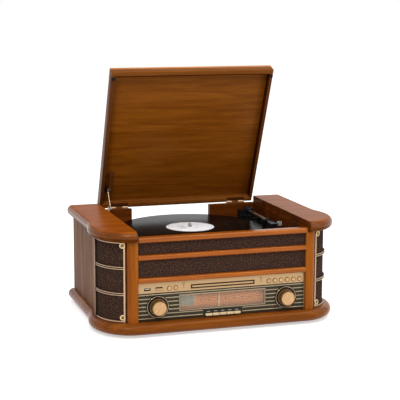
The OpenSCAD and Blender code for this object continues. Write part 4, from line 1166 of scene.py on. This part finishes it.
def labelFinish():
    finish, tree = newFinish("recordLabel")
    cloud = addNoise(tree, recordPlace(tree), 60, 2)
    paperTones = {0.3: srgb(236, 235, 240), 0.7: srgb(252, 252, 252)}
    setSurface(tree, {"Base Color": addRamp(tree, cloud, paperTones), "Roughness": 0.55})
    return finish


def buildRecord():
    d = deck
    x, y, low, top = (d[k] for k in ("spindleX", "spindleY", "recordZ", "recordTop"))
    middle = (low + top) / 2
    vinyl = addRound("recordVinyl", (x, y, middle), d["recordRadius"], top - low, axis="Z", sides=192,
                     softEdge=0)
    shapeFaces(vinyl, lambda f: abs(f.normal.z) > 0.9, *d["grooves"], apart=True)
    for point in vinyl.data.vertices:
        reach = (point.co.xy - at(x, y, 0).xy).length
        grooved = d["grooveEnd"] < reach < d["grooveStart"]
        sunk = d["groovesSunk"] if grooved else d["edgeSunk"] if reach > d["edgeStart"] else 0
        point.co.z -= sunk if point.co.z > middle else -sunk
    drill(vinyl, (x, y, top), d["holeRadius"], 0.02, axis="Z", sides=40)
    settle(vinyl, "turning_platter", "record_vinyl", vinylFinish(), "record", sharp=20)
    label = addRound("recordLabel", (x, y, top + 0.00005), d["labelRadius"], 0.0002, axis="Z", sides=96,
                     softEdge=0.00005)
    drill(label, (x, y, top), d["holeRadius"], 0.02, axis="Z", sides=40)
    settle(label, "turning_platter", "ivory_plastic", labelFinish(), "record")
    marks = [addRing("ring", (x, y, top + 0.00015), radius, 0.00018, 96, 6, "Z")
             for radius in d["labelRings"]]
    for i in (-2, -1, 1, 2):
        barX, barY = x - d["barLeft"] + abs(i) * d["barStep"], y + i * d["barPitch"]
        marks.append(addBlock("bar", (barX, barY - d["barHalf"], top + 0.0001),
                              (x - d["barRight"], barY + d["barHalf"], top + 0.00025), 0))
    settle(joinPieces("labelPrint", marks), "turning_platter", "ivory_plastic", plain["labelInk"], "record")


def settleArm(piece, slotName, finish, node):
    # The arm's pieces lie along -Y from the pivot until they are turned to the parked angle
    a = toneArm
    parked = turnAbout(at(a["x"], a["y"], a["z"]), -a["turn"], "Z")
    settle(piece, "arm", slotName, finish, node, moved=parked)


def buildToneArm():
    a = toneArm
    x, y, z = a["x"], a["y"], a["z"]
    tube = addRound("armTube", (x, y - 0.0675, z), a["tubeRadius"], 0.123, sides=32, softEdge=0.0002)
    collar = addRound("collar", (x, y - 0.0105, z), 0.0046, 0.007, sides=32, softEdge=0.0006)
    settleArm(tube, "arm_tube", plain["armTube"], "tonearm")
    block = addBlock("block", *centred(x, 0.0063, (y - 0.0068, y + 0.0068), (z - 0.0049, z + 0.0049)),
                     0.0015, 3)
    weight = addRound("weight", (x, y + 0.0132, z), a["weightRadius"], 0.0132, sides=40, softEdge=0.0009)
    groove = addRing("groove", (x, y + 0.0085, z), a["weightRadius"], 0.0004, 40, 8)
    pin = addRound("pin", (x, y, z), 0.0015, 0.0225, axis="X", sides=24, softEdge=0.0003)
    settleArm(joinPieces("armPivot", [block, collar, weight, groove, pin]), "black_plastic",
              plain["armLacquer"], "tonearm")


def buildHeadShell():
    a = toneArm
    x, y, z = a["x"], a["y"] - a["headOut"], a["z"]
    shell = addBlock("headShell", *centred(x, 0.0079, (y - 0.0069, y + 0.012), (z - 0.0008, z + 0.002)), 0)
    shapeFaces(shell, lambda f: f.normal.y > 0.9, (0, 0.025, 0))
    startEdit()
    bpy.ops.transform.resize(value=(0.5, 1, 1), center_override=at(x, y + 0.037, z))
    endEdit()
    bevelWhere(shell, lambda a, b: True, 0.0007, 3)
    body = addBlock("body", *centred(x, 0.0058, (y - 0.0048, y + 0.0208), (z - 0.0051, z - 0.0006)), 0.0006)
    carrier = addBlock("carrier", *centred(x, 0.0028, (y - 0.0038, y + 0.0038), (z - 0.0061, z - 0.005)),
                       0.0003)
    socket = addRound("socket", (x, y + 0.0395, z), 0.0044, 0.0088, sides=32, softEdge=0.0006)
    settleArm(joinPieces("headShell", [shell, body, carrier, socket]), "black_plastic",
              plain["armLacquer"], "cartridge")
    plate = addBlock("fingerLift", (x + 0.0071, y - 0.0019, z - 0.0037), (x + 0.0169, y - 0.0007, z + 0.0051),
                     0.0002)
    edges = [addBlock("edge", (x + left, y - 0.002, z + low), (x + 0.017, y - 0.0006, z + 0.0052), 0.0002)
             for left, low in ((0.0163, -0.0038), (0.007, 0.0045))]
    settleArm(plate, "clear_window", clearFinish("fingerClear", 0.2), "cartridge")
    settleArm(joinPieces("fingerEdge", edges), "clear_window", clearFinish("edgeClear", 0.38), "cartridge")


buildRecord()
buildToneArm()
buildHeadShell()
print("record player built")


# Finishes of the CAD pieces that stay

carried = (
    (grilleCloth, "front_grilles"), (woods["well"], "inner_walls"),
    (clearFinish("windowClear", 0.05), "dial_window"), (plain["fibreBoard"], "back_panel"),
    (plain["blackSatin"], "rear_sockets", "media_sockets", "turntable_deck", "arm_base", "cd_loader",
     "loudspeakers", "arm_lift", "cue_lever", "speed_selector", "cd_tray"),
    (plain["rubber"], "rubber_feet", "drive_belt", "platter_mat"), (plain["castPlatter"], "platter"),
    (plain["darkSteel"], "turntable_motor", "power_transformer"), (plain["brass"], "motor_pulley"),
    (plain["spindleSteel"], "spindle"), (plain["circuitBoard"], "circuit_boards"),
    (plain["fixedHinge"], "hinge_leaves"), (plain["stayTrack"], "stay_track"),
    (plain["staySteel"], "lid_stay"), (plain["armLacquer"], "arm_gimbal"),
    (plain["pointerPaint"], "dial_pointer"), (plain["brightSteel"], "cd_hub"))
for finish, *nodes in carried:
    for node in nodes:
        piece = frame["nodes"][node]
        if not piece.material_slots:
            piece.data.materials.append(finish)
        for slot in piece.material_slots:
            slot.material = finish
print("carried pieces finished")
